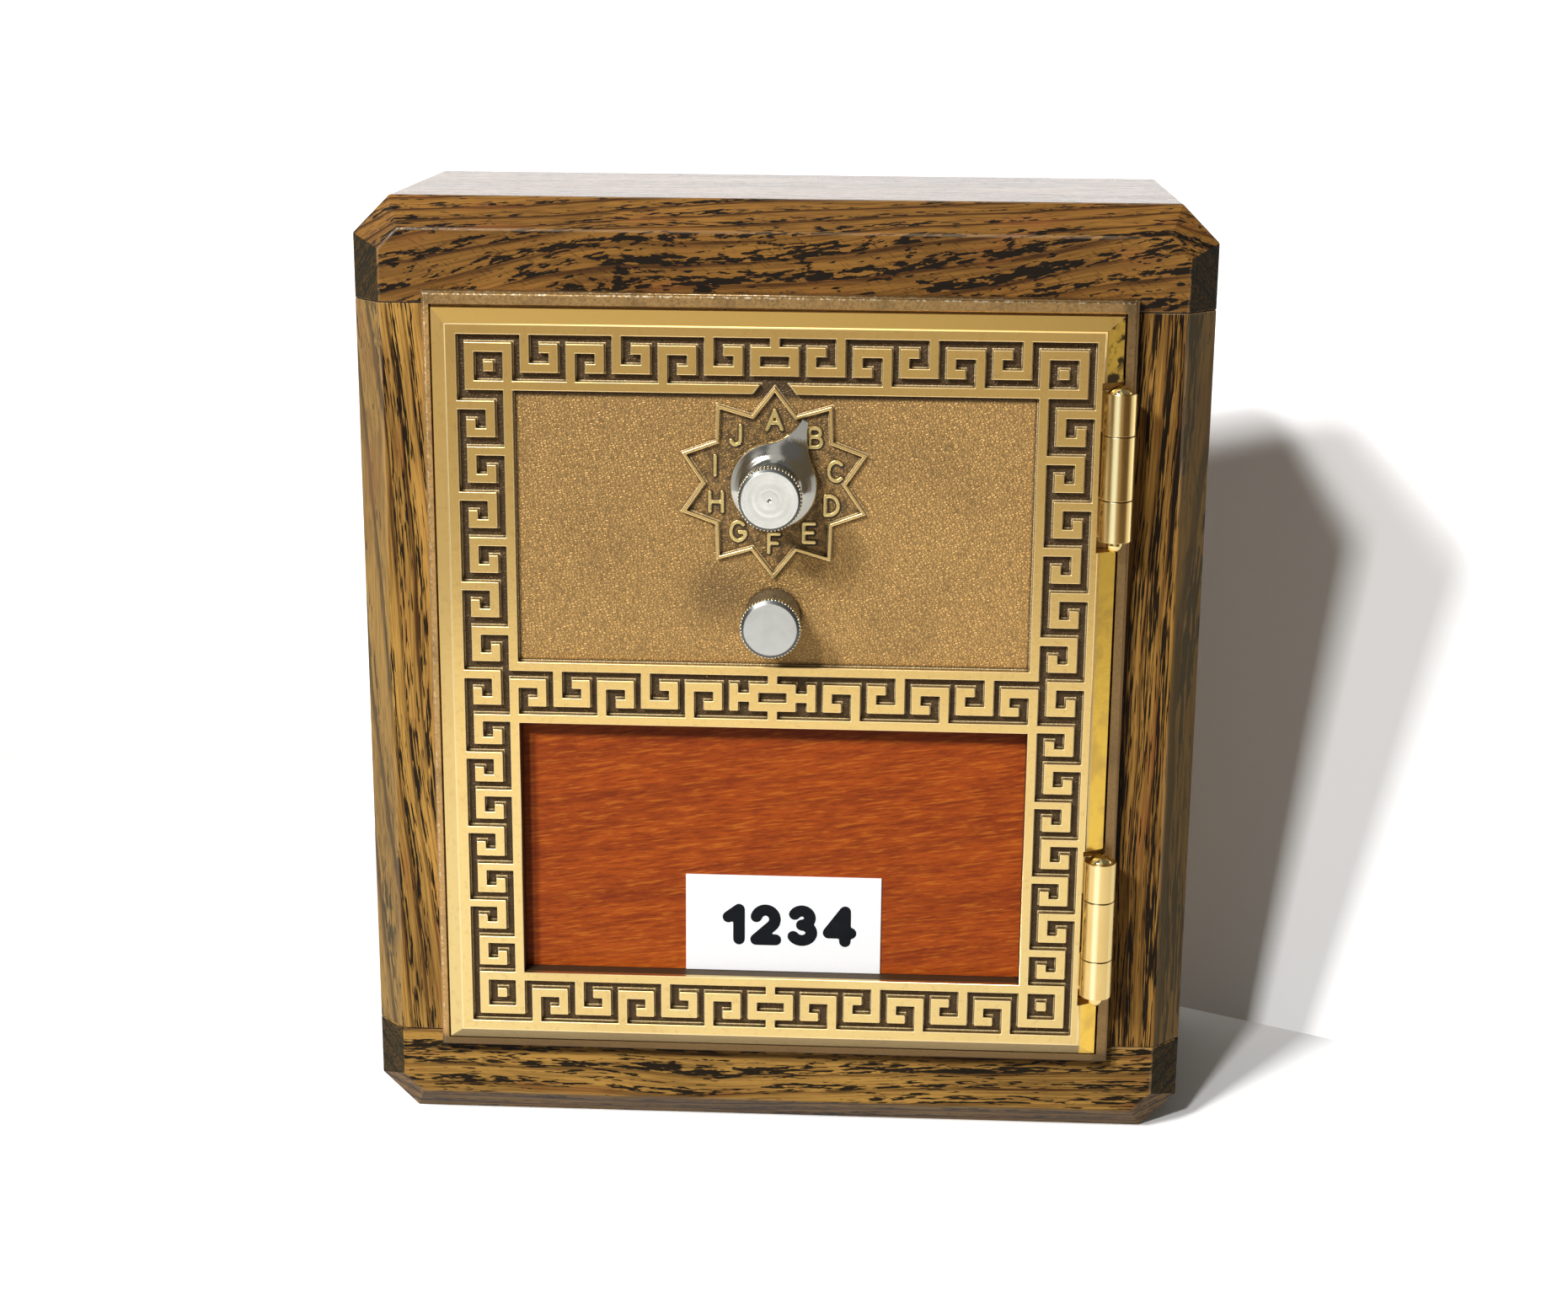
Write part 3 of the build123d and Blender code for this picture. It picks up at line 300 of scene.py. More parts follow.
class Tree:
    """A node tree under construction."""

    def __init__(self, tree):
        self.tree = tree

    def add(self, kind, values=None, **settings):
        """A new node of that kind, with values for its inputs."""
        node = self.tree.nodes.new(kind)
        for key, value in settings.items():
            setattr(node, key, value)
        for key, value in (values or {}).items():
            self.give(node.inputs[key], value)
        return node

    def get(self, kind, values=None, output=0, **settings):
        """What a new node of that kind works out."""
        return Value(self, self.add(kind, values, **settings).outputs[output])

    def give(self, socket, value):
        """Sets an input, or links it to what another node works out."""
        if isinstance(value, Value):
            self.tree.links.new(value.socket, socket)
        elif socket.type == "RGBA":
            socket.default_value = (*value[:3], 1.0)
        else:
            socket.default_value = value

    def join(self, x, y, z):
        """A place from its X, Y and Z."""
        return self.get("ShaderNodeCombineXYZ", {0: x, 1: y, 2: z})

    def paths(self, *names):
        """Whether the light's path is of each of those kinds."""
        node = self.add("ShaderNodeLightPath")
        return [Value(self, node.outputs[name]) for name in names]


class Finish(Tree):
    """A material under construction, which starts from an object's own coordinates."""

    def __init__(self, name):
        self.material = bpy.data.materials.new(name)
        self.material.use_nodes = True
        super().__init__(self.material.node_tree)
        self.shader = self.tree.nodes["Principled BSDF"]
        self.place = self.get("ShaderNodeTexCoord", output="Object")

    def normal(self):
        """The X, Y and Z of the surface's direction."""
        return self.get("ShaderNodeTexCoord", output="Normal").axes()

    def worn(self):
        """1 on the rounded edges, 0 elsewhere."""
        return self.get("ShaderNodeAttribute", output="Fac", attribute_name="worn")

    def openness(self, reach):
        """1 in the open, falling to 0 in corners deeper than reach."""
        return self.get("ShaderNodeAmbientOcclusion", {"Distance": reach}, "AO", samples=8)

    def finish(self, **values):
        """Sets the shader's own sockets, whose names use _ for a space."""
        for key, value in values.items():
            self.give(self.shader.inputs[key.replace("_", " ")], value)
        return self.material


def times(factor, tint):
    """A colour with each of its parts multiplied."""
    return tuple(factor * part for part in tint)


def oak(name, along, rings, wander, reach, seed, blackness, gloss, across=3000, pale=0.0,
        dashes=0.0, haze=0.0):
    """Dark stained oak. Growth rings are counted by a slope along each axis, in rings a metre; pores
    follow the rings, crowd in their early wood and are filled with black, and end grain takes more
    stain. Reach and across are pores a metre along and across the grain, gloss is the lacquer's
    share, dashes adds short oblique pores on a face cut on the slant, and haze is the share of a
    painted sheen on all but the front."""
    settings = bpy.context.scene.strongbox_oak
    wood = Finish(name)
    x, y, z = wood.place.axes()
    normal = wood.normal()
    front = abs(normal[1]).span(0.75, 0.95)
    ends = abs(normal[0 if along == "X" else 2]).span(0.60, 0.70)
    density = Vector(rings).length
    grain = (x if along == "X" else z) + seed
    count = x * rings[0] + y * rings[1] + z * rings[2]
    sway = wood.join(grain, count / density, y).mapped((11, 45, 30)).noise()
    count = count + sway * wander
    place = wood.join(grain, count / density, y)
    ring = count.fraction()
    early = ring.span(0.18, 0.62, 1.0, 0.0)
    late = ring.span(0.70, 0.96) * ring.span(0.97, 1.0, 1.0, 0.3)
    pit = place.mapped((3.3 * reach, across, 0.57 * across)).noise(1, 2, 0.6)
    patch = place.mapped((0.75 * reach, 420, 260), (3, 1, 2)).noise(1, 2, 0.55)
    spread = place.mapped((26, 130, 90), (5, 9, 1)).noise(1, 1)
    fibre = place.mapped((75, 3400, 2400)).noise(1, 2, 0.6)
    broad = place.mapped((20, 95, 70), (7, 5, 3)).noise()
    ruddy = place.mapped((48, 260, 160), (1, 8, 4)).noise()
    bar = (0.735 - blackness) - early * 0.135 - front * 0.05 - (patch - 0.5) * 0.50
    pores = (pit - (bar - (spread - 0.5) * 0.28)).span(0.0, 0.05)
    if dashes:
        slant = wood.place.mapped(turn=-32).mapped((330, 900, 2500)).noise().span(0.58, 0.70)
        pores = pores.larger(slant * normal[1].span(-0.98, -0.90, 0.6 * dashes, 0.0))
    figure = late * front.span(0.0, 1.0, 0.85, 0.50) + (fibre.span(0.40, 0.64) * 0.42
                                                       + broad.span(0.35, 0.68) * 0.36)
    light = [part * (1.0 + pale * share) for part, share in zip(settings.light, PALER)]
    tone = figure.mix(light, settings.dark)
    tone = ruddy.span(0.55, 0.75, 0.0, 0.45).mix(tone, settings.ruddy)
    tone = (pores * 0.97).mix(tone, settings.pore)
    # Painted sheen: faces other than the front take a lighter olive tone
    if haze:
        tone = front.span(0.0, 1.0, haze, 0.0).mix(tone, settings.painted_sheen)
    tone = (wood.worn() * broad.span(0.42, 0.62, 0.0, 0.16)).mix(tone, settings.worn)
    tone = (ends * fibre.span(0.4, 0.62, 0.80, 1.0)).mix(tone, settings.end)
    relief = fibre * 0.16 - pores
    return wood.finish(
        Base_Color=tone,
        Roughness=fibre.span(0.2, 0.8, 0.36, 0.48),
        Specular_IOR_Level=0.04,
        Coat_Weight=ends.span(0.0, 1.0, gloss, 0.15 * gloss),
        Coat_IOR=1.2,
        Coat_Roughness=0.14,
        Coat_Normal=relief.bump(0.20 * MM),
        Normal=relief.bump(0.09 * MM),
    )


def cast_brass():
    """Antiqued brass of the door: raised work rubbed bright, a grained panel that is browner, and
    dark patina that stays in the grooves and in the star. Light and shade are painted into its colour
    too: patina with painted shade in inner corners and round the knobs, pointer and letters, painted
    shade on the bevels that face down, a painted tone on the top bevel that faces up, a yellow bevel
    by the hinges that is partly polish and partly painted reflection, raised work and panel painted
    darker towards the top, and the panel lighter towards the right."""
    settings = bpy.context.scene.strongbox_brass
    patina = settings.patina
    brass = Finish("cast_brass")
    place = brass.place
    x, y, z = place.axes()
    dx = x - DIAL.x
    dz = z - DIAL.z
    across = abs(dx)
    upright = abs(z - (DOOR_LOW.z + DOOR_HIGH.z) / 2)
    rim = across.past(FIELD_HALF_WIDTH, 0, 0.6).larger(upright.past(FIELD_HALF_HEIGHT, 0, 0.6))
    height = rim.larger(y.past(FIELD, -0.15, -0.75))
    inside = across.past(PANEL_HALF_WIDTH, -0.9, 0.1, 1.0, 0.0) * (
        z.past(PANEL_LOW, -0.1, 0.9) * z.past(PANEL_HIGH, -1.6, -0.3, 1.0, 0.0))
    point = (dx.bearing(dz) * (STAR_POINTS / (2 * pi)) + STAR_POINTS).folded(0.5)
    reach = 1.0 / (point * (2 * (1 / STAR_WAIST - 1 / STAR_TIP)) + 1 / STAR_TIP)
    star = (reach - (dx * dx + dz * dz).root()).past(0, -0.7, 0.7)

    crack = brass.get("ShaderNodeTexVoronoi", {"Vector": place, "Scale": 1850},
                      "Distance", feature="DISTANCE_TO_EDGE").span(0.03, 0.24, 1.0, 0.0)
    grain = place.noise(2300, 2, 0.6, 0.3)
    cloud = place.noise(48, 3, 0.55)
    blotch = place.noise(620, 3, 0.7)
    speck = place.noise(700, 3, 0.65)
    pits = crack * grain.span(0.34, 0.56, 0.35, 1.0)
    # A darker cloudy patch, centred 10 mm left of and 21 mm below the dial
    dark_patch = ((dx + 10 * MM) ** 2 + (dz + 21 * MM) ** 2).root() + cloud * (6 * MM)
    # Painted light: the panel is lighter towards the right
    field = dx.past(0, -25, 40).mix(settings.panel, times(1.15, settings.panel))
    # Patina in pits, in clouds and in the star, painted shade that darkens the panel towards the top,
    # and a darker patch
    for share in (pits * 0.58, cloud.span(0.48, 0.78) * 0.22,
                  z.span(PANEL_LOW, PANEL_HIGH, 0.0, 0.16), dark_patch.past(0, 4, 13, 0.50, 0.0),
                  star * blotch.span(0.38, 0.62, 0.85, 0.25)):
        field = share.mix(field, patina)
    low = inside.mix((pits * 0.4).mix(patina, times(0.6, patina)), field)

    up = brass.normal()[2]
    # Slope marks the top bevel that faces up, which takes a painted tone for the light on it; upward
    # marks up-facing rounded edges, which take less of the rubbed colour
    slope = rim * up.span(0.35, 0.75)
    upward = rim * up.span(0.05, 0.30)
    hinge_side = dx.past(HINGE_BEVEL, 0, 0.5)
    mottle = place.noise(170, 3, 0.65).span(0.42, 0.64, 0.0, 0.45)
    smoky = z.past(DOOR_HIGH.z, -24, -12) * place.noise(260, 3, 0.6).span(0.46, 0.58)
    # Painted shade and reflection: the raised work is darker and browner towards the top and lighter
    # at the foot
    worn = z.span(DOOR_LOW.z, DOOR_HIGH.z).mix(settings.raised, settings.upper)
    worn = (cloud.span(0.45, 0.75) * 0.20).mix(worn, settings.panel)
    worn = speck.span(0.52, 0.72, 0.0, 0.30).mix(worn, settings.panel)
    # Patina and painted shade on the rim's bevels that face down
    worn = (rim * up.span(-0.75, -0.35, 0.74, 0.0)).mix(worn, patina)
    # The bevel by the hinges is painted yellow, partly polish and partly painted reflection, then
    # mottled, with darker patches near the top
    worn = hinge_side.mix(worn, settings.yellow)
    worn = (hinge_side * mottle).mix(worn, settings.panel)
    worn = (hinge_side * smoky).mix(worn, patina)
    # Painted tone on the up-facing top bevel
    worn = slope.mix(worn, settings.sloped)

    edge = brass.worn()
    # Patina and painted shade: darker in inner corners and round the knobs, the pointer and the
    # letters, which this darkening also sees
    patina_and_corner_shade = (1.0 - brass.openness(1.2 * MM).span(0.40, 0.85)) * (1.0 - height * 0.85)
    tone = height.mix(low, worn)
    tone = (edge * (0.60 - upward * 0.45)).mix(tone, settings.rubbed)
    tone = (patina_and_corner_shade * 0.85).mix(tone, times(0.25, patina))
    grainy = (1.0 - height) * (grain * 0.4 - crack)
    return brass.finish(
        Base_Color=tone,
        Metallic=height.span(0.0, 1.0, 0.60, 1.0),
        Roughness=height.span(0.0, 1.0, 0.46, 0.25) + slope * 0.09 + edge * (upward * 0.20 + 0.10),
        Specular_IOR_Level=0.2,
        Normal=grainy.bump(0.045 * MM, Normal=speck.bump(0.012 * MM)),
    )


def metal(name, tint, rough, grain=(900, 900, 900), depth=0.004, spread=0.10, metallic=1.0,
          spots=0.0):
    """A metal with a slight cloudiness, a fine grain stretched by three scales and as deep
    as said in millimetres, a spread of roughness, and spots of tarnish where asked."""
    piece = Finish(name)
    fine = piece.place.mapped(grain).noise(1, 3, 0.6)
    cloud = piece.place.noise(60, 3, 0.6)
    tone = cloud.span(0.35, 0.75).mix(tint, times(0.80, tint))
    if spots:
        tone = (cloud.span(0.52, 0.70) * spots).mix(tone, times(0.35, tint))
    return piece.finish(
        Base_Color=tone,
        Metallic=metallic,
        Roughness=fine.span(0.2, 0.8, rough - spread / 2, rough + spread / 2),
        Normal=fine.bump(depth * MM),
    )


def hinge_brass():
    """Brass of the hinge barrels, with light painted into its colour by the way the surface faces: a
    painted highlight band down the front, painted bright reflection along the right side and a little
    on the left, and painted dark reflection between, less of it on the lower hinge."""
    settings = bpy.context.scene.strongbox_brass
    brass = Finish("hinge_brass")
    fine = brass.place.mapped((700, 700, 60)).noise(1, 3, 0.6)
    cloud = brass.place.noise(90, 3, 0.6)
    sideways, forwards, _ = brass.normal()
    facing = sideways.bearing(forwards * -1.0) * DEGREES
    # Painted highlight: a bright band down the front of each barrel, set by the way the surface faces
    band = abs(facing + 15).span(2, 17, 1.0, 0.0)
    # Painted reflection: brighter on the right side, a little on the left, and brighter below 70 to
    # 100 mm on the lower hinge; the rest keeps the painted dark reflection
    rubbed = band.larger(facing.span(30, 44, 0.0, 0.9)).larger(facing.span(-50, -15, 0.60, 0.15))
    rubbed = rubbed.larger(brass.place.axes()[2].past(0, 70, 100, 0.62, 0.0))
    rubbed = rubbed * cloud.span(0.40, 0.75, 1.0, 0.85)
    tone = rubbed.mix(settings.painted_dark_reflection, settings.bright)
    return brass.finish(
        # The band is painted pale and made less metallic, a painted highlight
        Base_Color=(band * 0.85).mix(tone, settings.band),
        Metallic=1.0 - band * 0.55,
        Roughness=fine.span(0.2, 0.8, 0.22, 0.27),
        Normal=fine.bump(0.002 * MM),
    )


def frame_brass():
    """Antiqued brass of the frame: browner than the door, pitted, with painted glints in specks along
    its top and left outer edges, partly rubbed wear, a little darker above the door, and patina with
    painted shade in its corners, beside the hinges and under the door."""
    settings = bpy.context.scene.strongbox_brass
    patina = settings.patina
    brass = Finish("frame_brass")
    x, y, z = brass.place.axes()
    grain = brass.place.noise(2000, 3, 0.65)
    cloud = brass.place.noise(90, 3, 0.6)
    tone = grain.span(0.40, 0.70, 0.0, 0.30).mix(settings.frame, patina)
    tone = (cloud.span(0.5, 0.75) * 0.35).mix(tone, patina)
    # Painted shade on the flange beside the hinges, right of the door
    tone = x.past(DOOR_HIGH.x, -1.0, 0.5, 0.0, 0.62).mix(tone, patina)
    # Painted glints: near-white specks on the rounded top and left outer edges, partly rubbed wear
    rim = x.past(FRAME_LOW.x, 0.5, 1.2, 0.35, 0.0).larger(z.past(FRAME_HIGH.z, -1.2, -0.5))
    specks = brass.place.noise(1300, 2, 0.7).span(0.50, 0.64)
    tone = (brass.worn() * rim * specks).mix(tone, settings.speck)
    # Darker above the door, painted shade under the door, and patina with painted shade in the
    # corners
    for share in (z.past(DOOR_HIGH.z, -1.0, 0.5, 0.0, 0.32),
                  z.past(DOOR_LOW.z, -1.0, 1.0, 0.80, 0.0),
                  brass.openness(2.4 * MM).span(0.30, 0.90, 1.0, 0.0) * 0.35):
        tone = share.mix(tone, patina)
    return brass.finish(
        Base_Color=tone,
        Metallic=0.90,
        Roughness=grain.span(0.3, 0.7, 0.46, 0.32),
        Normal=grain.bump(0.05 * MM),
    )


def cherry():
    """Red cherry with level, slightly rising streaks and a fine fleck."""
    settings = bpy.context.scene.strongbox_window
    wood = Finish("cherry_panel")
    tilted = wood.place.mapped(turn=8)
    level = tilted.axes()[2] * 75.0 + tilted.mapped((14, 14, 60)).noise() * 4.6
    band = level.fraction().span(0.55, 1.0)
    streaks = tilted.mapped((26, 300, 420)).noise(1, 3, 0.55)
    fleck = tilted.mapped((420, 2600, 2600)).noise(1, 2, 0.6)
    fine = tilted.mapped((230, 2200, 2500), (4, 1, 6)).noise(1, 2, 0.6)
    glow = tilted.mapped((20, 20, 45), (2, 3, 5)).noise()
    share = band * 0.22 + (streaks.span(0.38, 0.74) * 0.42 + fleck.span(0.42, 0.72) * 0.34)
    tone = share.mix(settings.cherry, settings.streak)
    tone = fine.span(0.54, 0.68, 0.0, 0.45).mix(tone, settings.fleck)
    tone = fine.span(0.36, 0.46, 0.50, 0.0).mix(tone, settings.streak)
    return wood.finish(
        Base_Color=glow.span(0.50, 0.70, 0.0, 0.35).mix(tone, settings.glow),
        Roughness=fleck.span(0.2, 0.8, 0.36, 0.48),
        Specular_IOR_Level=0.15,
        Normal=fleck.bump(0.012 * MM),
    )


def paper(tint):
    """Matt white card with a faint tooth."""
    card = Finish("white_card")
    tooth = card.place.noise(2600, 3, 0.6)
    tone = tooth.span(0.3, 0.8, 0.0, 0.08).mix(tint, times(0.8, tint))
    return card.finish(Base_Color=tone, Roughness=0.55, Normal=tooth.bump(0.01 * MM))


def ink(tint):
    """Black print, a little uneven."""
    black = Finish("black_ink")
    tone = black.place.noise(1800).span(0.4, 0.8, 0.0, 0.4).mix(tint, times(1.8, tint))
    return black.finish(Base_Color=tone, Roughness=0.6, Specular_IOR_Level=0.1)


def turned(name, tint, rough, centre, pitch, depth):
    """A turned metal face: fine rings round an axis that looks forwards, with their pitch
    and depth in millimetres."""
    piece = Finish(name)
    x, y, z = piece.place.axes()
    dx = x - centre.x
    dz = z - centre.z
    out = (dx * dx + dz * dz).root()
    wander = piece.place.noise(300)
    rings = piece.join(out / (pitch * MM), wander * 0.6, 0.0).noise(1, 2, 0.6)
    cloud = piece.place.noise(260, 3, 0.6)
    return piece.finish(
        Base_Color=cloud.span(0.35, 0.75).mix(tint, times(0.88, tint)),
        Metallic=1.0,
        Roughness=rings.span(0.25, 0.75, rough - 0.06, rough + 0.06),
        Normal=rings.bump(depth * MM),
    )


def link(name, data):
    """A new object with that data, in the scene."""
    thing = bpy.data.objects.new(name, data)
    bpy.context.scene.collection.objects.link(thing)
    return thing


def mesh_of(name, shape):
    """The bmesh as a mesh. The bmesh is freed."""
    mesh = bpy.data.meshes.new(name)
    shape.to_mesh(mesh)
    shape.free()
    return mesh


def applied(thing):
    """An object's mesh with its modifiers applied. The object and its own mesh go."""
    base = thing.data
    thing.update_tag()
    mesh = bpy.data.meshes.new_from_object(
        thing.evaluated_get(bpy.context.evaluated_depsgraph_get()))
    bpy.data.objects.remove(thing)
    bpy.data.meshes.remove(base)
    return mesh


def smooth(mesh, angle=SHARP):
    """Smooth shading, with edges above the angle kept sharp."""
    mesh.shade_smooth()
    mesh.set_sharp_from_angle(angle=radians(angle))


def ride(body, slot, *pieces):
    """Puts pieces on a body; the slot is not used."""
    for piece in pieces:
        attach(piece, body)


def stand_for(node, slot, piece):
    """Puts a piece in the place of a CAD node, on the node's body."""
    ride(NODES[node]["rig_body"], slot, piece)
    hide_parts(node)


def closed(node):
    """A CAD node's mesh as a bmesh with its doubles merged."""
    shape = bmesh.new()
    shape.from_mesh(NODES[node].data)
    bmesh.ops.remove_doubles(shape, verts=shape.verts, dist=1e-6)
    return shape


def whole(node):
    """A CAD node's closed shape with each flat face in one piece."""
    shape = closed(node)
    bmesh.ops.dissolve_limit(shape, angle_limit=radians(0.6), verts=shape.verts,
                             edges=shape.edges)
    return shape


def corner_angle(edge):
    """Angle between an edge's two faces, in degrees."""
    return 0.0 if len(edge.link_faces) != 2 else edge.calc_face_angle(0.0) * DEGREES


def long_edge(edge):
    """Whether an edge is one of a board's or a sheet's main edges."""
    return edge.calc_length() >= LONG


def eased(name, node, material, width, slot, chosen=None, segments=2, flat=False):
    """A copy of a CAD node with its sharp edges rounded, which stands for the node. A flat
    one has no curved faces, so that only its rounded edges are shaded round."""
    shape = whole(node)
    worn = shape.faces.layers.float.new("worn")
    edges = [e for e in shape.edges if corner_angle(e) > SHARP and (not chosen or chosen(e))]
    made = bmesh.ops.bevel(shape, geom=edges, offset=width, segments=segments, profile=0.5,
                           affect="EDGES", clamp_overlap=False)
    for face in made["faces"]:
        face[worn] = 1.0
    mesh = mesh_of(name, shape)
    smooth(mesh)
    piece = link(name, crisp(mesh) if flat else weighted(mesh))
    piece.data.materials.clear()
    piece.data.materials.append(material)
    stand_for(node, slot, piece)


def weighted(mesh):
    """The mesh with normals that follow its large faces, so that flat faces shade flat
    between their rounded edges."""
    rough = link("rough", mesh)
    normals = rough.modifiers.new("normals", "WEIGHTED_NORMAL")
    normals.weight = 90
    normals.keep_sharp = True
    return applied(rough)


def crisp(mesh):
    """The mesh with flat normals on its plain faces, and normals on its rounded edges that
    turn from one plain face to the next."""
    rounded = [item.value > 0.5 for item in mesh.attributes["worn"].data]
    plain = {}
    blend = {}
    for face in mesh.polygons:
        for corner in face.vertices:
            if rounded[face.index]:
                blend[corner] = blend.get(corner, Vector()) + face.normal * face.area
            elif face.area > plain.get(corner, (0.0, None))[0]:
                plain[corner] = (face.area, face.normal.copy())
    normals = []
    for face in mesh.polygons:
        for corner in face.vertices:
            if not rounded[face.index]:
                normals.append(face.normal)
            elif corner in plain:
                normals.append(plain[corner][1])
            else:
                normals.append(blend[corner].normalized())
    mesh.normals_split_custom_set(normals)
    return mesh


def finish_nodes(material, *nodes):
    """Gives CAD nodes' own meshes a better material."""
    for node in nodes:
        for place in NODES[node].material_slots:
            place.link = "OBJECT"
            place.material = material


def stroke(shape, points, radius):
    """Adds a round bar along a polyline, with a ball at each end and corner."""
    for point in points:
        ball = bmesh.ops.create_uvsphere(shape, u_segments=12, v_segments=8, radius=radius)
        bmesh.ops.translate(shape, verts=ball["verts"], vec=point)
    for start, end in zip(points, points[1:]):
        way = end - start
        turn = Vector((0, 0, 1)).rotation_difference(way).to_matrix().to_4x4()
        bmesh.ops.create_cone(shape, cap_ends=True, segments=12, radius1=radius,
                              radius2=radius, depth=way.length,
                              matrix=Matrix.Translation((start + end) / 2) @ turn)


def arc(x, z, width, height, start, end, steps=14):
    """Points of an elliptic arc, with its angles in degrees."""
    turns = [radians(start + (end - start) * n / steps) for n in range(steps + 1)]
    return [(x + width * cos(turn), z + height * sin(turn)) for turn in turns]


# Width and strokes of each sign in a box one unit high, from its lower left corner
SIGNS = {
    "A": (0.78, [[(0, 0), (0.39, 1), (0.78, 0)], [(0.14, 0.34), (0.64, 0.34)]]),
    "B": (0.62, [[(0.34, 1), (0, 1), (0, 0), (0.36, 0)], [(0, 0.54), (0.36, 0.54)],
                 arc(0.34, 0.77, 0.24, 0.23, 90, -90), arc(0.36, 0.27, 0.28, 0.27, 90, -90)]),
    "C": (0.68, [arc(0.42, 0.5, 0.40, 0.5, 48, 312, 20)]),
    "D": (0.66, [[(0.22, 1), (0, 1), (0, 0), (0.22, 0)], arc(0.22, 0.5, 0.46, 0.5, 90, -90, 18)]),
    "E": (0.56, [[(0.56, 1), (0, 1), (0, 0), (0.56, 0)], [(0, 0.52), (0.48, 0.52)]]),
    "F": (0.54, [[(0.54, 1), (0, 1), (0, 0)], [(0, 0.5), (0.46, 0.5)]]),
    "G": (0.80, [arc(0.42, 0.5, 0.40, 0.5, 48, 345, 22) + [(0.80, 0.46), (0.48, 0.46)]]),
    "H": (0.66, [[(0, 0), (0, 1)], [(0.66, 0), (0.66, 1)], [(0, 0.5), (0.66, 0.5)]]),
    "I": (0.0, [[(0, 0), (0, 1)]]),
    "J": (0.50, [[(0.5, 1), (0.5, 0.27)] + arc(0.25, 0.27, 0.25, 0.27, 0, -170)]),
    "1": (0.34, [[(0, 0.74), (0.34, 1), (0.34, 0)]]),
    "2": (0.62, [arc(0.30, 0.69, 0.30, 0.31, 165, -38) + [(0, 0), (0.62, 0)]]),
    "3": (0.60, [arc(0.29, 0.76, 0.26, 0.24, 150, -90) + arc(0.29, 0.26, 0.31, 0.26, 90, -150)]),
    "4": (0.70, [[(0.52, 0), (0.52, 1), (0, 0.28), (0.70, 0.28)]]),
}


def sign(text, height, radius, voxel):
    """One sign as a rounded solid, its strokes melted into one, centred and upright. It
    lies in the X and Z of the result, and its depth is along Y."""
    width, lines = SIGNS[text]
    inner = height - 2 * radius
    shape = bmesh.new()
    for line in lines:
        stroke(shape, [Vector(((px - width / 2) * inner, 0.0, (pz - 0.5) * inner))
                       for px, pz in line], radius)
    rough = link("sign", mesh_of("strokes", shape))
    melt = rough.modifiers.new("melt", "REMESH")
    melt.mode = "VOXEL"
    melt.voxel_size = voxel
    even = rough.modifiers.new("even", "SMOOTH")
    even.factor = 0.5
    even.iterations = 3
    return applied(rough)


def set_signs(name, placed, near, far, material, slot):
    """Joins placed signs, given as (mesh, place), into one piece on the door. Their depth
    is held between near and far along Y, which makes them flat-faced."""
    together = bmesh.new()
    for mesh, place in placed:
        for vertex in mesh.vertices:
            spot = vertex.co + place
            spot.y = min(max(spot.y, near), far)
            vertex.co = spot
        together.from_mesh(mesh)
        bpy.data.meshes.remove(mesh)
    bmesh.ops.dissolve_limit(together, angle_limit=radians(0.5), verts=together.verts,
                             edges=together.edges)
    bmesh.ops.triangulate(together, faces=together.faces)
    ride("door", slot, shaded(name, together, material, 40))


def shaded(name, shape, material, angle):
    """The bmesh as a smooth object with that material, in the scene."""
    mesh = mesh_of(name, shape)
    mesh.materials.append(material)
    smooth(mesh, angle)
    return link(name, mesh)


def bridge(shape, rows):
    """Faces between rows of vertices that each run once round; a row may be one vertex."""
    for first, second in zip(rows, rows[1:]):
        count = max(len(first), len(second))
        for n in range(count):
            m = (n + 1) % count
            around = [first[n % len(first)], first[m % len(first)],
                      second[m % len(second)], second[n % len(second)]]
            shape.faces.new(list(dict.fromkeys(around)))
    bmesh.ops.recalc_face_normals(shape, faces=shape.faces)


def revolved(profile, sides, place):
    """A bmesh of revolution. The profile's points are (radius, level), from the axis at one
    end to the axis at the other. Place turns two offsets and a level into a vertex."""
    shape = bmesh.new()
    rows = []
    for radius, level in profile:
        turns = [2 * pi * n / sides for n in range(sides if radius > 1e-7 else 1)]
        rows.append([shape.verts.new(place(radius * sin(a), radius * cos(a), level))
                     for a in turns])
    bridge(shape, rows)
    return shape


def lathe(name, profile, centre, material):
    """A solid of revolution about the line along Y through centre."""
    shape = revolved(profile, 128, lambda x, z, y: (centre.x + x, y, centre.z + z))
    return shaded(name, shape, material, 30)


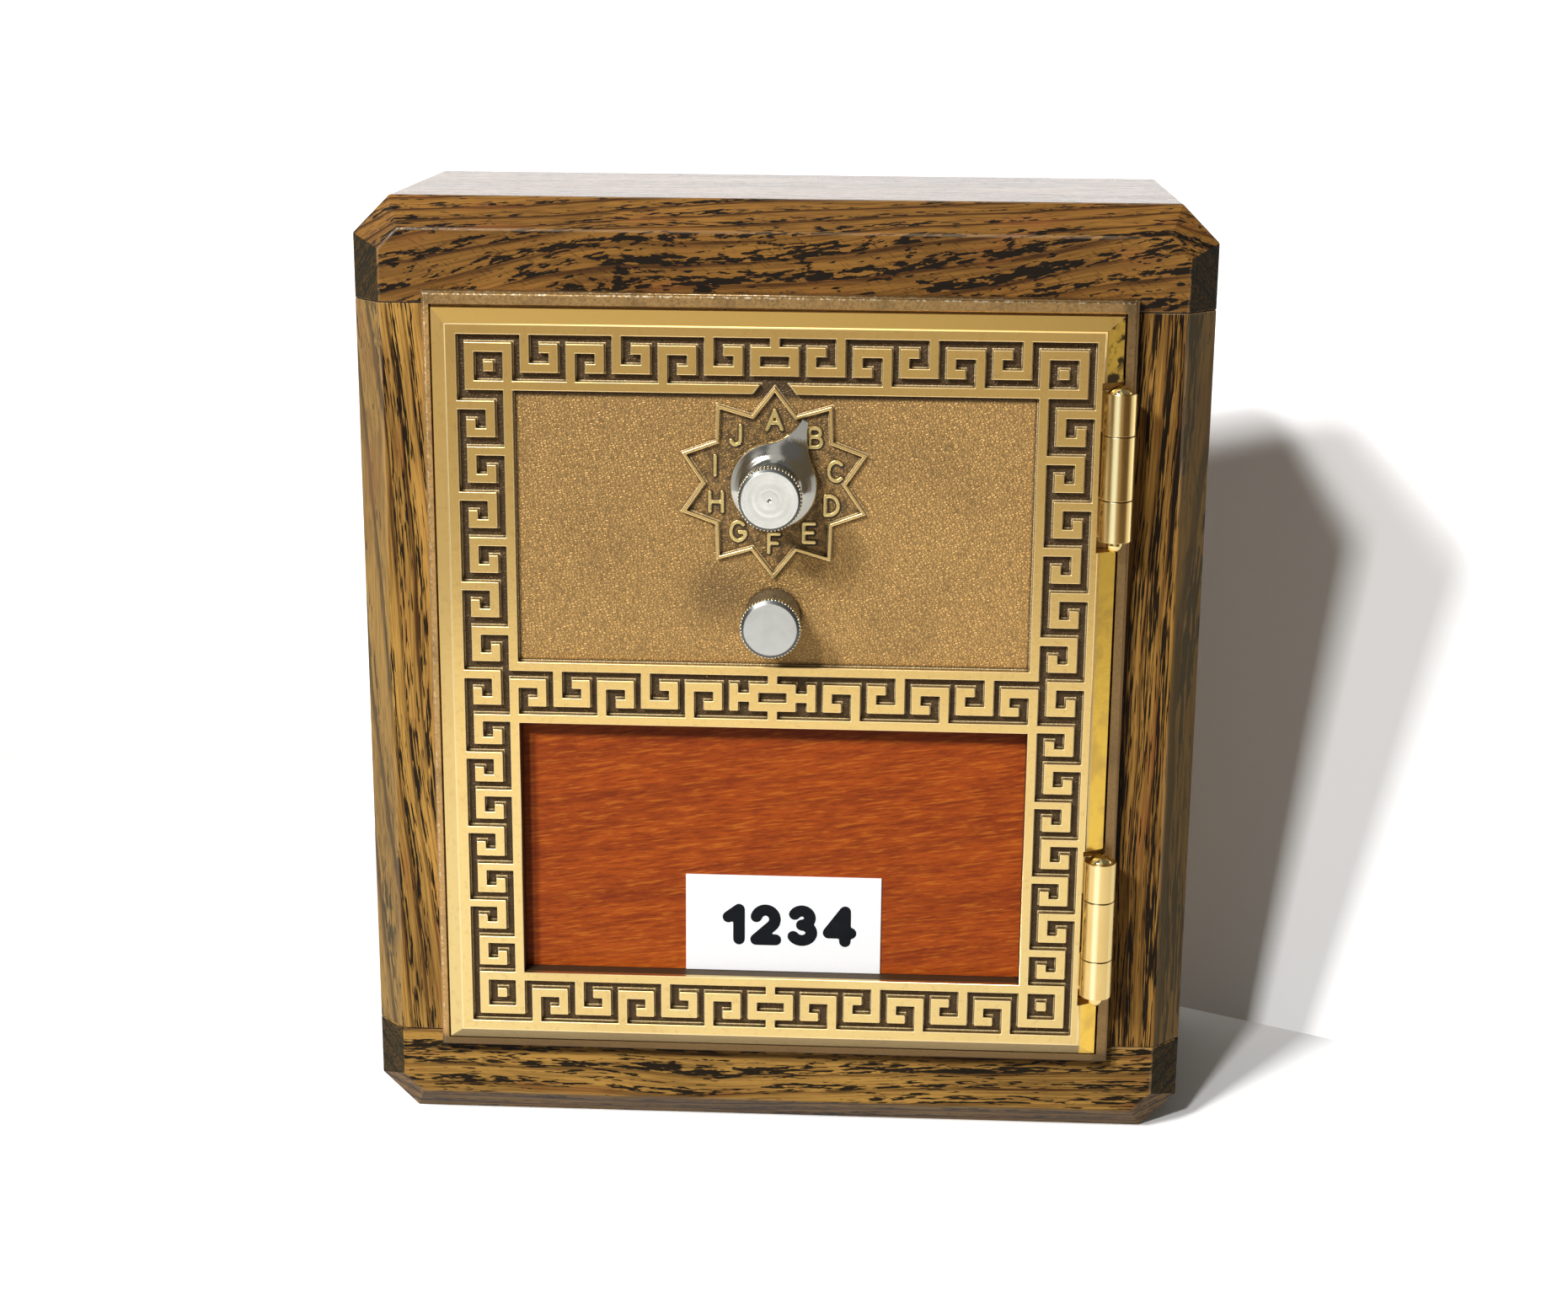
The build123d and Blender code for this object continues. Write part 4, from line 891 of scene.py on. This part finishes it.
def screw_head(radius, flush):
    """A slotted screw head with its seat at Z 0: countersunk when flush, otherwise a low
    dome."""
    if flush:
        top = 0.0
        profile = [(0.0, -HEAD_HEIGHT), (radius * 0.5, -HEAD_HEIGHT),
                   (radius, -0.05 * HEAD_HEIGHT), (radius, 0.0), (0.0, 0.0)]
    else:
        top = HEAD_HEIGHT
        profile = [(0.0, 0.0), (radius, 0.0)] + [
            (radius * cos(a), HEAD_HEIGHT * (0.35 + 0.65 * sin(a)))
            for a in [pi / 2 * n / 8 for n in range(9)]]
    head = link("head", mesh_of("head", revolved(profile, 48, lambda x, y, z: (x, y, z))))
    box = bmesh.new()
    bmesh.ops.create_cube(box, size=1.0)
    bmesh.ops.scale(box, verts=box.verts, vec=(3 * radius, SLOT_WIDTH, 2 * SLOT_DEPTH))
    bmesh.ops.translate(box, verts=box.verts, vec=(0, 0, top))
    slot = link("slot", mesh_of("slot", box))
    cut = head.modifiers.new("slot", "BOOLEAN")
    cut.object = slot
    cut.solver = "EXACT"
    edge = head.modifiers.new("edge", "BEVEL")
    edge.width = HEAD_EDGE
    edge.segments = 2
    edge.limit_method = "ANGLE"
    mesh = applied(head)
    bpy.data.objects.remove(slot)
    smooth(mesh)
    return link("screw_head", mesh)


def node_tree(name, **inputs):
    """A geometry node tree with inputs of those names and kinds, and what they hold."""
    group = bpy.data.node_groups.new(name, "GeometryNodeTree")
    for label, kind in {"Geometry": "Geometry", **inputs}.items():
        group.interface.new_socket(label, in_out="INPUT", socket_type="NodeSocket" + kind)
    group.interface.new_socket("Geometry", in_out="OUTPUT", socket_type="NodeSocketGeometry")
    tree = Tree(group)
    given = tree.add("NodeGroupInput")
    return tree, {label: Value(tree, given.outputs[label]) for label in ("Geometry", *inputs)}


def copies(tree, given, points, rotation):
    """Copies of the given object on points."""
    copy = tree.get("GeometryNodeObjectInfo", {"Object": given["Copy"]}, "Geometry")
    return tree.get("GeometryNodeInstanceOnPoints", {"Points": points, "Instance": copy,
                                                     "Rotation": rotation})


def completed(tree, given, result):
    """The node group, whose result is made real and takes the given material."""
    real = tree.get("GeometryNodeRealizeInstances", {0: result})
    coat = tree.get("GeometryNodeSetMaterial", {"Geometry": real, "Material": given["Material"]})
    tree.add("NodeGroupOutput", {0: coat})
    return tree.tree


def ring_tree():
    """Tree that stands Count copies of an object round the Y axis, each turned to face
    outwards."""
    tree, given = node_tree("ring_of_copies", Copy="Object", Count="Int", Radius="Float",
                            Centre="Vector", Material="Material")
    circle = tree.get("GeometryNodeMeshCircle", {"Vertices": given["Count"],
                                                 "Radius": given["Radius"]})
    angle = tree.get("GeometryNodeInputIndex") / given["Count"] * (2 * pi)
    upright = tree.get("GeometryNodeTransform", {
        "Geometry": copies(tree, given, circle, tree.join(0, 0, angle)),
        "Rotation": (radians(90), 0, 0), "Translation": given["Centre"]})
    return completed(tree, given, upright)


def seat_tree():
    """Tree that stands a copy of an object on each vertex, turned about its own axis by a
    random angle from a fixed seed, and then all turned to face one way."""
    tree, given = node_tree("copies_on_seats", Copy="Object", Facing="Vector", Seed="Int",
                            Material="Material")
    twist = tree.add("FunctionNodeRandomValue", {"Seed": given["Seed"]}, data_type="FLOAT")
    low, high = [s for s in twist.inputs if s.name in ("Min", "Max") and s.type == "VALUE"][:2]
    low.default_value = 0.0
    high.default_value = pi
    amount = Value(tree, next(s for s in twist.outputs if s.type == "VALUE"))
    own = tree.get("FunctionNodeEulerToRotation", {0: tree.join(0, 0, amount)})
    face = tree.get("FunctionNodeAlignRotationToVector", {"Vector": given["Facing"]}, axis="Z")
    both = tree.get("FunctionNodeRotateRotation", {"Rotation": own, "Rotate By": face},
                    rotation_space="GLOBAL")
    return completed(tree, given, copies(tree, given, given["Geometry"], both))


def grown(name, tree, points, **values):
    """The tree's result on loose vertices at those points, with those values in its named
    inputs, as a plain mesh object."""
    base = bpy.data.meshes.new("seats")
    base.from_pydata([tuple(point) for point in points], [], [])
    holder = link(name + "_base", base)
    growth = holder.modifiers.new("growth", "NODES")
    growth.node_group = tree
    for item in tree.interface.items_tree:
        if item.in_out == "INPUT" and item.name in values:
            growth[item.identifier] = values[item.name]
    mesh = applied(holder)
    mesh.name = name
    return link(name, mesh)


def islands(node):
    """The lowest and highest corners of each separate solid of a CAD node."""
    shape = closed(node)
    left = set(shape.verts)
    found = []
    while left:
        todo = [left.pop()]
        group = list(todo)
        while todo:
            vertex = todo.pop()
            for edge in vertex.link_edges:
                other = edge.other_vert(vertex)
                if other in left:
                    left.remove(other)
                    todo.append(other)
                    group.append(other)
        low, high = (Vector([end(v.co[k] for v in group) for k in range(3)]) for end in (min, max))
        found.append((low, high))
    shape.free()
    return sorted(found, key=lambda pair: tuple(pair[0]))


# How much of a board's paleness goes to red, green and blue
PALER = (1.0, 1.45, 1.8)

# Grain of each board and of the back panel
BOARDS = {
    "top_board": dict(along="X", rings=(-31, 300, 225), wander=3.6, reach=100, across=2250,
                      seed=0.47, blackness=0.080, dashes=0.75, gloss=0.85),
    "bottom_board": dict(along="X", rings=(-8, -180, 260), wander=2.4, reach=75, across=2500,
                         seed=1.13, blackness=0.085, pale=0.52, dashes=0.25, gloss=0.25),
    "left_board": dict(along="Z", rings=(330, 120, 22), wander=2.0, reach=42, seed=2.27,
                       blackness=0.055, pale=0.60, gloss=0.35, haze=0.38),
    "right_board": dict(along="Z", rings=(300, -160, -6), wander=1.6, reach=30, seed=3.41,
                        blackness=0.115, pale=0.26, gloss=0.15, haze=0.50),
}
BACK_GRAIN = dict(along="Z", rings=(190, 60, 12), wander=2.5, reach=80, seed=5.2,
                  blackness=0.04, gloss=0.4)


class STRONGBOX_OT_boards(bpy.types.Operator):
    """Four oak boards with eased edges, each with grain of its own"""

    bl_idname = "strongbox.boards"
    bl_label = "Oak boards"

    def execute(self, context):
        for node, grain in BOARDS.items():
            eased(node.replace("board", "plank"), node, oak(node.replace("board", "oak"), **grain),
                  context.scene.strongbox_oak.edge,
                  "oak_board" if grain["along"] == "X" else "oak_side", long_edge,
                  segments=3, flat=True)
        return {"FINISHED"}


class STRONGBOX_OT_back(bpy.types.Operator):
    """Back panel with an eased coin slot"""

    bl_idname = "strongbox.back"
    bl_label = "Back panel"

    def execute(self, context):
        eased("rear_panel", "back_panel", oak("back_oak", **BACK_GRAIN), 0.5 * MM, "oak_back",
              lambda e: all(v.co.y > BOX_BACK - 0.05 * MM for v in e.verts)
              and all(abs(v.co.x) < 30 * MM or e.calc_length() > 20 * MM for v in e.verts),
              segments=3)
        return {"FINISHED"}


class STRONGBOX_OT_frame(bpy.types.Operator):
    """Cast frame with rounded edges"""

    bl_idname = "strongbox.frame"
    bl_label = "Frame"

    def execute(self, context):
        eased("cast_frame", "door_frame", frame_brass(), 0.22 * MM, "frame_casting",
              lambda e: e.calc_length() >= 6 * MM, flat=True)
        return {"FINISHED"}


class STRONGBOX_OT_casting(bpy.types.Operator):
    """Door casting: Greek key border and star with rounded edges"""

    bl_idname = "strongbox.casting"
    bl_label = "Door casting"

    def execute(self, context):
        eased("cast_door", "door_casting", cast_brass(), context.scene.strongbox_brass.edge,
              "door_casting", lambda e: all(v.co.y < FIELD + 0.1 * MM for v in e.verts)
              and e.calc_length() > 0.5 * MM, flat=True)
        return {"FINISHED"}


# Letters: the bearing of each from the top, their distance from the dial's axis and how much farther
# out the first stands. Their painted shadow, a dark, wider copy set a little to the right and down,
# and then their brass: name, height, radius of the strokes, size of the voxels, shift to the right
# and up, and ends of the depth from the field, all in millimetres
BEARINGS = {"A": 0, "B": 41, "C": 78, "D": 111, "E": 145, "F": 180, "G": 216, "H": 251,
            "I": 286, "J": 321}
LETTER_RING = 11.3 * MM
FIRST_LETTER = 0.4 * MM
LETTER_SETS = (
    ("letter_patina", 4.7, 0.66, 0.11, 0.10, -0.12, -0.02, 0.2),
    ("dial_letters", 4.4, 0.44, 0.09, 0.0, 0.0, -0.34, 0.3),
)


class STRONGBOX_OT_letters(bpy.types.Operator):
    """Raised letters A to J round the dial"""

    bl_idname = "strongbox.letters"
    bl_label = "Dial letters"

    def execute(self, context):
        brass = context.scene.strongbox_brass
        # The first set is a painted shadow: dark, wider letters set a little right and down under the
        # brass ones
        metals = (metal("letter_patina", times(0.5, brass.patina), 0.6, depth=0.02, metallic=0.3),
                  metal("letter_brass", brass.raised, 0.34, depth=0.01))
        for material, (name, *sizes) in zip(metals, LETTER_SETS):
            height, radius, voxel, right, up, near, far = (size * MM for size in sizes)
            placed = []
            for text, bearing in BEARINGS.items():
                reach = LETTER_RING + (0.0 if bearing else FIRST_LETTER)
                placed.append((sign(text, height, radius, voxel),
                               Vector((DIAL.x + reach * sin(radians(bearing)) + right, FIELD,
                                       DIAL.z + reach * cos(radians(bearing)) + up))))
            set_signs(name, placed, FIELD + near, FIELD + far, material, "door_casting")
        return {"FINISHED"}


class STRONGBOX_OT_hinges(bpy.types.Operator):
    """Polished hinge knuckles and their pins"""

    bl_idname = "strongbox.hinges"
    bl_label = "Hinges"

    def execute(self, context):
        barrel = hinge_brass()
        pin = metal("pin_brass", context.scene.strongbox_brass.bright, 0.09, (500, 500, 500),
                    0.001, 0.04)
        for name, node, material, width in (
                ("door_barrels", "door_knuckles", barrel, 0.14 * MM),
                ("frame_barrels", "frame_knuckles", barrel, 0.14 * MM),
                ("upper_pin", "upper_hinge_pin", pin, 0.10 * MM),
                ("lower_pin", "lower_hinge_pin", pin, 0.10 * MM)):
            eased(name, node, material, width, "polished_brass")
        return {"FINISHED"}


# Card: half the print's thickness, the gap between digits, the number's shift to the right
# of the card's middle, its height above the card's foot, and the size of its voxels
PRINT = 0.05 * MM
DIGIT_GAP = 1.0 * MM
NUMBER_SHIFT = 1.2 * MM
NUMBER_HEIGHT = 9.6 * MM
DIGIT_VOXEL = 0.16 * MM


class STRONGBOX_OT_window(bpy.types.Operator):
    """Cherry panel, number card and digits in the window"""

    bl_idname = "strongbox.window"
    bl_label = "Window"

    def execute(self, context):
        settings = context.scene.strongbox_window
        finish_nodes(cherry(), "window_panel")
        eased("card", "number_card", paper(settings.card), 0.06 * MM, "card", segments=1)
        radius = settings.digit_stroke / 2
        inner = settings.digit_height - 2 * radius
        widths = [SIGNS[text][0] * inner + 2 * radius for text in settings.digits]
        start = (CARD_LOW.x + CARD_HIGH.x - sum(widths) - DIGIT_GAP * (len(widths) - 1)) / 2
        start += NUMBER_SHIFT
        front = CARD_LOW.y
        placed = []
        for text, width in zip(settings.digits, widths):
            place = Vector((start + width / 2, front, CARD_LOW.z + NUMBER_HEIGHT))
            placed.append((sign(text, settings.digit_height, radius, DIGIT_VOXEL), place))
            start += width + DIGIT_GAP
        set_signs("card_digits", placed, front - PRINT, front + PRINT, ink(settings.ink), "card")
        zinc = metal("zinc_sheet", (0.58, 0.60, 0.62), 0.34, (90, 500, 500), 0.006, 0.14)
        eased("retainer", "window_retainer", zinc, 0.12 * MM, "zinc_steel", long_edge)
        return {"FINISHED"}


class STRONGBOX_OT_dial(bpy.types.Operator):
    """Dial pointer and its knurled knob"""

    bl_idname = "strongbox.dial"
    bl_label = "Dial"

    def execute(self, context):
        steel = context.scene.strongbox_steel
        pointer(metal("pointer_nickel", steel.pointer, 0.13, (400, 400, 400), 0.003, 0.08))
        grip("dial", DIAL, steel.satin, flank=4.9 * MM, radius=5.8 * MM, face=5.0 * MM,
             knurl=2.2 * MM, dimple=0.5 * MM)
        return {"FINISHED"}


# The pointer's dome: distances from the axis in millimetres, and heights as shares of the
# plate's thickness. Its chamfer, the rows of its dome, and the hub that is left out of its
# outline
POINTER_DOME = ((4.7, 1.0), (5.4, 0.85), (6.1, 0.78), (7.0, 0.62), (8.0, 0.42), (9.0, 0.25),
                (10.2, 0.14), (13.4, 0.09))
POINTER_CHAMFER = 0.16 * MM
POINTER_ROWS = 16
POINTER_HUB = 6 * MM


def outline(node, level, centre, steps):
    """Bearings and reaches of a CAD node's outline round a centre, where it lies at the
    given Y."""
    shape = whole(node)
    rim = [[v.co - centre for v in e.verts] for e in shape.edges
           if all(abs(v.co.y - level) < 0.01 * MM for v in e.verts)]
    shape.free()
    corners = {round(atan2(point.x, point.z) % (2 * pi), 5) for pair in rim for point in pair
               if Vector((point.x, point.z)).length > POINTER_HUB}
    found = []
    for turn in sorted({round(2 * pi * n / steps, 5) for n in range(steps)} | corners):
        way = Vector((sin(turn), cos(turn)))
        reach = 0.0
        for a, b in rim:
            hit = geometry.intersect_line_line_2d(Vector((0, 0)), way * 0.05,
                                                  Vector((a.x, a.z)), Vector((b.x, b.z)))
            if hit:
                reach = max(reach, hit.length)
        if reach > POINTER_HUB:
            found.append((turn, reach))
    return found


def dome(out):
    """Height of the pointer's dome at a distance from the axis, as a share."""
    for (near, high), (far, low) in zip(POINTER_DOME, POINTER_DOME[1:]):
        if out <= far * MM:
            return high + (low - high) * (out / MM - near) / (far - near)
    return POINTER_DOME[-1][1]


def pointer(material):
    """Domed pointer: a turned dome that runs out into a low cone, cut along its CAD plate's
    outline, with a narrow chamfer round it."""
    low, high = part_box("dial_pointer")
    front, back = low.y, high.y
    rim = outline("dial_pointer", back, DIAL, 180)
    inner = POINTER_DOME[0][0] * MM
    shape = bmesh.new()
    rows = [[shape.verts.new((DIAL.x, back, DIAL.z))]]
    steps = [(0.0, 0.0, None), (0.0, 0.0, POINTER_CHAMFER)]
    steps += [(POINTER_CHAMFER, n / POINTER_ROWS, 0.0) for n in range(POINTER_ROWS + 1)]
    for inset, inward, drop in steps:
        row = []
        for turn, reach in rim:
            edge = reach - inset
            out = edge + (inner - edge) * inward
            rise = 0.0 if drop is None else dome(out) * (back - front) - drop
            row.append(shape.verts.new((DIAL.x + out * sin(turn), back - rise,
                                        DIAL.z + out * cos(turn))))
        rows.append(row)
    rows.append([shape.verts.new((DIAL.x, front, DIAL.z))])
    bridge(shape, rows)
    stand_for("dial_pointer", "dark_nickel", shaded("pointer", shape, material, 40))


class STRONGBOX_OT_latch(bpy.types.Operator):
    """Latch knob"""

    bl_idname = "strongbox.latch"
    bl_label = "Latch knob"

    def execute(self, context):
        grip("latch", LATCH, context.scene.strongbox_steel.latch, flank=5.1 * MM,
             radius=5.6 * MM, face=4.75 * MM, knurl=1.5 * MM)
        return {"FINISHED"}


def grip(body, centre, tint, flank, radius, face, knurl, dimple=0.0):
    """A turned knob that stands for its CAD node: a smooth dark flank, a band of ridges
    that are grown round it near the front, and a bright face, which has shallow rings and
    a dimple where asked. Flank, radius and face are radii, knurl is the band's length."""
    steel = bpy.context.scene.strongbox_steel
    name = body + "_grip"
    node = body + "_knob"
    low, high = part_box(node)
    front, back = low.y, high.y
    edge = front + 0.5 * MM
    root = radius - 0.22 * MM
    seat = face + 0.12 * MM
    band_back = edge + knurl
    stem = [(0.0, back), (flank - 0.3 * MM, back), (flank, back - 0.3 * MM),
            (flank, band_back + 0.35 * MM), (root, band_back + 0.12 * MM), (root, edge),
            (seat, front + 0.2 * MM), (0.0, front + 0.2 * MM)]
    disc = [(0.0, front + 0.3 * MM), (seat, front + 0.3 * MM), (seat, front + 0.1 * MM),
            (face, front)]
    if dimple:
        for out in (0.62 * face, 0.36 * face):
            disc += [(out + 0.14 * MM, front), (out, front + 0.014 * MM),
                     (out - 0.14 * MM, front)]
        disc += [(dimple, front), (0.0, front + 0.9 * dimple)]
    else:
        disc += [(0.0, front)]
    dark = metal(name + "_flank", times(0.6, steel.dark), 0.30, (500, 500, 500), metallic=0.7)
    bright = turned(name + "_face_nickel", tint, 0.34, centre, 0.35, 0.006)
    knob = lathe(name, stem, centre, dark)
    cap = lathe(name + "_face", disc, centre, bright)
    ridge = bmesh.new()
    bmesh.ops.create_cone(ridge, cap_ends=True, segments=8, radius1=steel.ridge / 2,
                          radius2=steel.ridge / 2, depth=knurl)
    rims = [e for e in ridge.edges if abs(e.verts[0].co.z - e.verts[1].co.z) < 1e-9]
    bmesh.ops.bevel(ridge, geom=rims, offset=0.08 * MM, segments=1, affect="EDGES")
    copy = link("ridge", mesh_of("ridge", ridge))
    copy.data.shade_smooth()
    ridges = grown(name + "_ridges", ring_tree(), [(0, 0, 0)], Copy=copy, Count=steel.ridges,
                   Radius=radius - 0.5 * steel.ridge,
                   Centre=(centre.x, band_back - knurl / 2, centre.z),
                   Material=metal(name + "_ridge_nickel", steel.knurl, 0.20))
    bpy.data.objects.remove(copy)
    ride(body, "satin_nickel", knob, cap, ridges)
    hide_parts(node)


class STRONGBOX_OT_lock(bpy.types.Operator):
    """Lock case, wheels, spindles, cam, bolt and fence behind the door"""

    bl_idname = "strongbox.lock"
    bl_label = "Lock"

    def execute(self, context):
        case = metal("case_brass", (0.52, 0.38, 0.18), 0.46, (500, 500, 500), 0.03, 0.14,
                     spots=0.5)
        sheet = metal("cover_brass", (0.64, 0.49, 0.25), 0.30, (70, 900, 900), 0.006, 0.14)
        eased("lock_tray", "lock_case", case, 0.20 * MM, "case_brass", long_edge)
        eased("lock_lid", "lock_cover", sheet, 0.15 * MM, "cover_brass", long_edge)
        finish_nodes(turned("wheel_brass", (0.70, 0.53, 0.25), 0.26, DIAL, 0.25, 0.006),
                     "drive_wheel", "middle_wheel", "front_wheel")
        finish_nodes(metal("bright_steel", (0.52, 0.52, 0.53), 0.26, (120, 900, 900), 0.004, 0.12),
                     "dial_spindle", "latch_spindle", "latch_cam", "latch_clip", "latch_bolt",
                     "bolt_fence", "fence_rivets", "bolt_stud", "spindle_washer",
                     "spindle_screw")
        return {"FINISHED"}


class STRONGBOX_OT_fasteners(bpy.types.Operator):
    """Slotted screw heads on the back panel, the frame, the window retainer and the lock"""

    bl_idname = "strongbox.fasteners"
    bl_label = "Fasteners"

    def execute(self, context):
        brass = metal("screw_brass", (0.72, 0.53, 0.22), 0.24, (600, 600, 600), spots=0.25)
        zinc = metal("screw_zinc", (0.60, 0.60, 0.60), 0.28, (600, 600, 600))
        flush = screw_head(2.85 * MM, True)
        pan = screw_head(2.4 * MM, False)
        tree = seat_tree()
        for node, head, height, seed, material, slot in (
                ("back_screws", flush, 0.0, 3, brass, "brass_screw"),
                ("retainer_screws", pan, HEAD_HEIGHT, 7, zinc, "screw_steel"),
                ("case_screws", pan, HEAD_HEIGHT, 11, zinc, "screw_steel")):
            points = [((low.x + high.x) / 2, high.y - height, (low.z + high.z) / 2)
                      for low, high in islands(node)]
            piece = grown(node.replace("screws", "screw_heads"), tree, points, Copy=head,
                          Facing=(0, 1, 0), Seed=seed, Material=material)
            stand_for(node, slot, piece)
        finish_nodes(brass, "frame_screws")
        bpy.data.objects.remove(flush)
        bpy.data.objects.remove(pan)
        return {"FINISHED"}


def sheet(name, shape, place, material):
    """A flat sheet of the stage, moved to its place."""
    shape.transform(place)
    thing = link(name, mesh_of(name, shape))
    thing.data.materials.append(material)
    return thing


def pale(name, tint, one_sided):
    """Pale paper that shows near white to the camera and in reflections and keeps the
    box's shadow. From behind, the one-sided kind lets the view through."""
    card = Finish(name)
    seen, glossy, through = card.paths("Is Camera Ray", "Is Glossy Ray", "Is Transmission Ray")
    bare = card.place.noise(30).mix(tint, times(1.03, tint))
    gain = FLOOR_BOUNCE + (glossy.larger(through) * (MIRRORED_GAIN - FLOOR_BOUNCE)
                           + seen * (CAMERA_GAIN - FLOOR_BOUNCE))
    shade = card.get("ShaderNodeVectorMath", {0: bare, 3: gain}, operation="SCALE")
    result = card.get("ShaderNodeBsdfDiffuse", {"Color": shade})
    card.tree.nodes.remove(card.shader)
    if one_sided:
        behind = card.get("ShaderNodeNewGeometry", output="Backfacing")
        clear = card.get("ShaderNodeBsdfTransparent")
        result = card.get("ShaderNodeMixShader", {0: behind, 1: result, 2: clear})
    card.give(card.tree.nodes["Material Output"].inputs["Surface"], result)
    return card.material


def ground(tint):
    """Floor, and a backdrop that leans back from close behind the box and takes its
    shadow. It shows only to a camera in front of it, and doesn't light the box."""
    disc = bmesh.new()
    bmesh.ops.create_circle(disc, cap_ends=True, segments=128, radius=FLOOR_REACH)
    floor = sheet("floor", disc, Matrix(), pale("floor_paper", tint, False))
    half = bmesh.new()
    half.faces.new([half.verts.new((x * BACKDROP_REACH, y * BACKDROP_REACH, 0))
                    for x, y in ((-1, 0), (1, 0), (1, 1), (-1, 1))])
    place = (Matrix.Translation(BACKDROP_FOOT) @ Matrix.Rotation(radians(BACKDROP_TURN), 4, "Z")
             @ Matrix.Rotation(radians(90 - BACKDROP_LEAN), 4, "X"))
    wall = sheet("backdrop", half, place, pale("backdrop_paper", tint, True))
    wall.visible_shadow = False
    wall.visible_diffuse = False
    wall.visible_glossy = False
    wall.visible_transmission = False


def lamp(name, bearing, height, away, size, power):
    """A square area lamp that faces the box and doesn't show."""
    light = bpy.data.lights.new(name, "AREA")
    light.size = size
    light.energy = power
    way = Euler((-radians(height), 0, -radians(bearing))).to_matrix() @ Vector((0, away, 0))
    thing = link(name, light)
    thing.location = LAMP_AIM - way
    thing.rotation_euler = way.to_track_quat("-Z", "Y").to_euler()
    thing.visible_camera = False


def studio(scene):
    """A world that is white behind the box and in a band straight in front of it, and dim
    at the front's sides. The camera sees it white."""
    scene.world = bpy.data.worlds.new("studio")
    scene.world.use_nodes = True
    sky = Tree(scene.world.node_tree)
    x, y, z = sky.get("ShaderNodeTexCoord", output="Generated").axes()
    bearing = x.bearing(y * -1.0) * DEGREES
    aside = abs(bearing + 3)
    level = aside.span(12, 30, WORLD_FRONT, WORLD_SIDE)
    behind = aside.span(94, 114, 0.0, WORLD_BACK) * z.span(0.20, 0.55, 1.0, 0.2)
    right = bearing.span(62, 80, 0.0, WORLD_RIGHT) * z.span(0.05, 0.20, 1.0, 0.0)
    for part in (bearing.span(-84, -62, WORLD_LEFT, 0.0), behind * z.span(0.70, 0.88, 1.0, 0.0),
                 z.span(0.45, 0.8, 0.0, WORLD_TOP), right):
        level = level.larger(part)
    seen, diffuse = sky.paths("Is Camera Ray", "Is Diffuse Ray")
    level = level * (1.0 - diffuse * WORLD_DAMP)
    plain = level.span(0.15, 0.6).larger(z.span(0.5, 0.75))
    back = sky.tree.nodes["Background"]
    sky.give(back.inputs["Strength"], sky.get("ShaderNodeMix", {0: seen, 2: level, 3: 1.0}))
    sky.give(back.inputs["Color"], seen.mix(plain.mix(WORLD_SHADE, WHITE), WHITE))


class STRONGBOX_OT_stage(bpy.types.Operator):
    """Pale floor and backdrop, soft lamps and the camera"""

    bl_idname = "strongbox.stage"
    bl_label = "Stage"

    def execute(self, context):
        scene = context.scene
        settings = scene.strongbox_stage
        scene.view_settings.view_transform = "Standard"
        ground(settings.floor)
        for values in LAMPS:
            lamp(*values)
        studio(scene)
        data = bpy.data.cameras.new("camera")
        data.lens = settings.lens
        data.sensor_width = 36.0
        data.clip_start = 0.01
        data.clip_end = 50.0
        camera = link("camera", data)
        pitch, turn, tilt = (radians(a) for a in settings.aim)
        camera.matrix_world = (Matrix.Translation(settings.camera)
                               @ Euler((pi / 2 - pitch, 0, turn)).to_matrix().to_4x4()
                               @ Matrix.Rotation(tilt, 4, "Z"))
        scene.camera = camera
        return {"FINISHED"}


OPERATORS = (
    STRONGBOX_OT_boards,
    STRONGBOX_OT_back,
    STRONGBOX_OT_frame,
    STRONGBOX_OT_casting,
    STRONGBOX_OT_letters,
    STRONGBOX_OT_hinges,
    STRONGBOX_OT_window,
    STRONGBOX_OT_dial,
    STRONGBOX_OT_latch,
    STRONGBOX_OT_lock,
    STRONGBOX_OT_fasteners,
    STRONGBOX_OT_stage,
)


class STRONGBOX_PT_panel(bpy.types.Panel):
    """Buttons for each group of pieces, and their settings"""

    bl_idname = "STRONGBOX_PT_panel"
    bl_label = "Strongbox"
    bl_space_type = "VIEW_3D"
    bl_region_type = "UI"
    bl_category = "Strongbox"

    def draw(self, context):
        layout = self.layout
        for operator in OPERATORS:
            layout.operator(operator.bl_idname)
        for name, group in SETTINGS.items():
            box = layout.box()
            settings = getattr(context.scene, name)
            for key in group.__annotations__:
                box.prop(settings, key)


CLASSES = (*SETTINGS.values(), *OPERATORS, STRONGBOX_PT_panel)


def register():
    for cls in CLASSES:
        bpy.utils.register_class(cls)
    for name, group in SETTINGS.items():
        setattr(bpy.types.Scene, name, PointerProperty(type=group))


def unregister():
    for name in SETTINGS:
        delattr(bpy.types.Scene, name)
    for cls in reversed(CLASSES):
        bpy.utils.unregister_class(cls)


def main():
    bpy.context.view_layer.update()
    register()
    for operator in OPERATORS:
        group, name = operator.bl_idname.split(".")
        getattr(getattr(bpy.ops, group), name)()


if __name__ == "__main__":
    main()
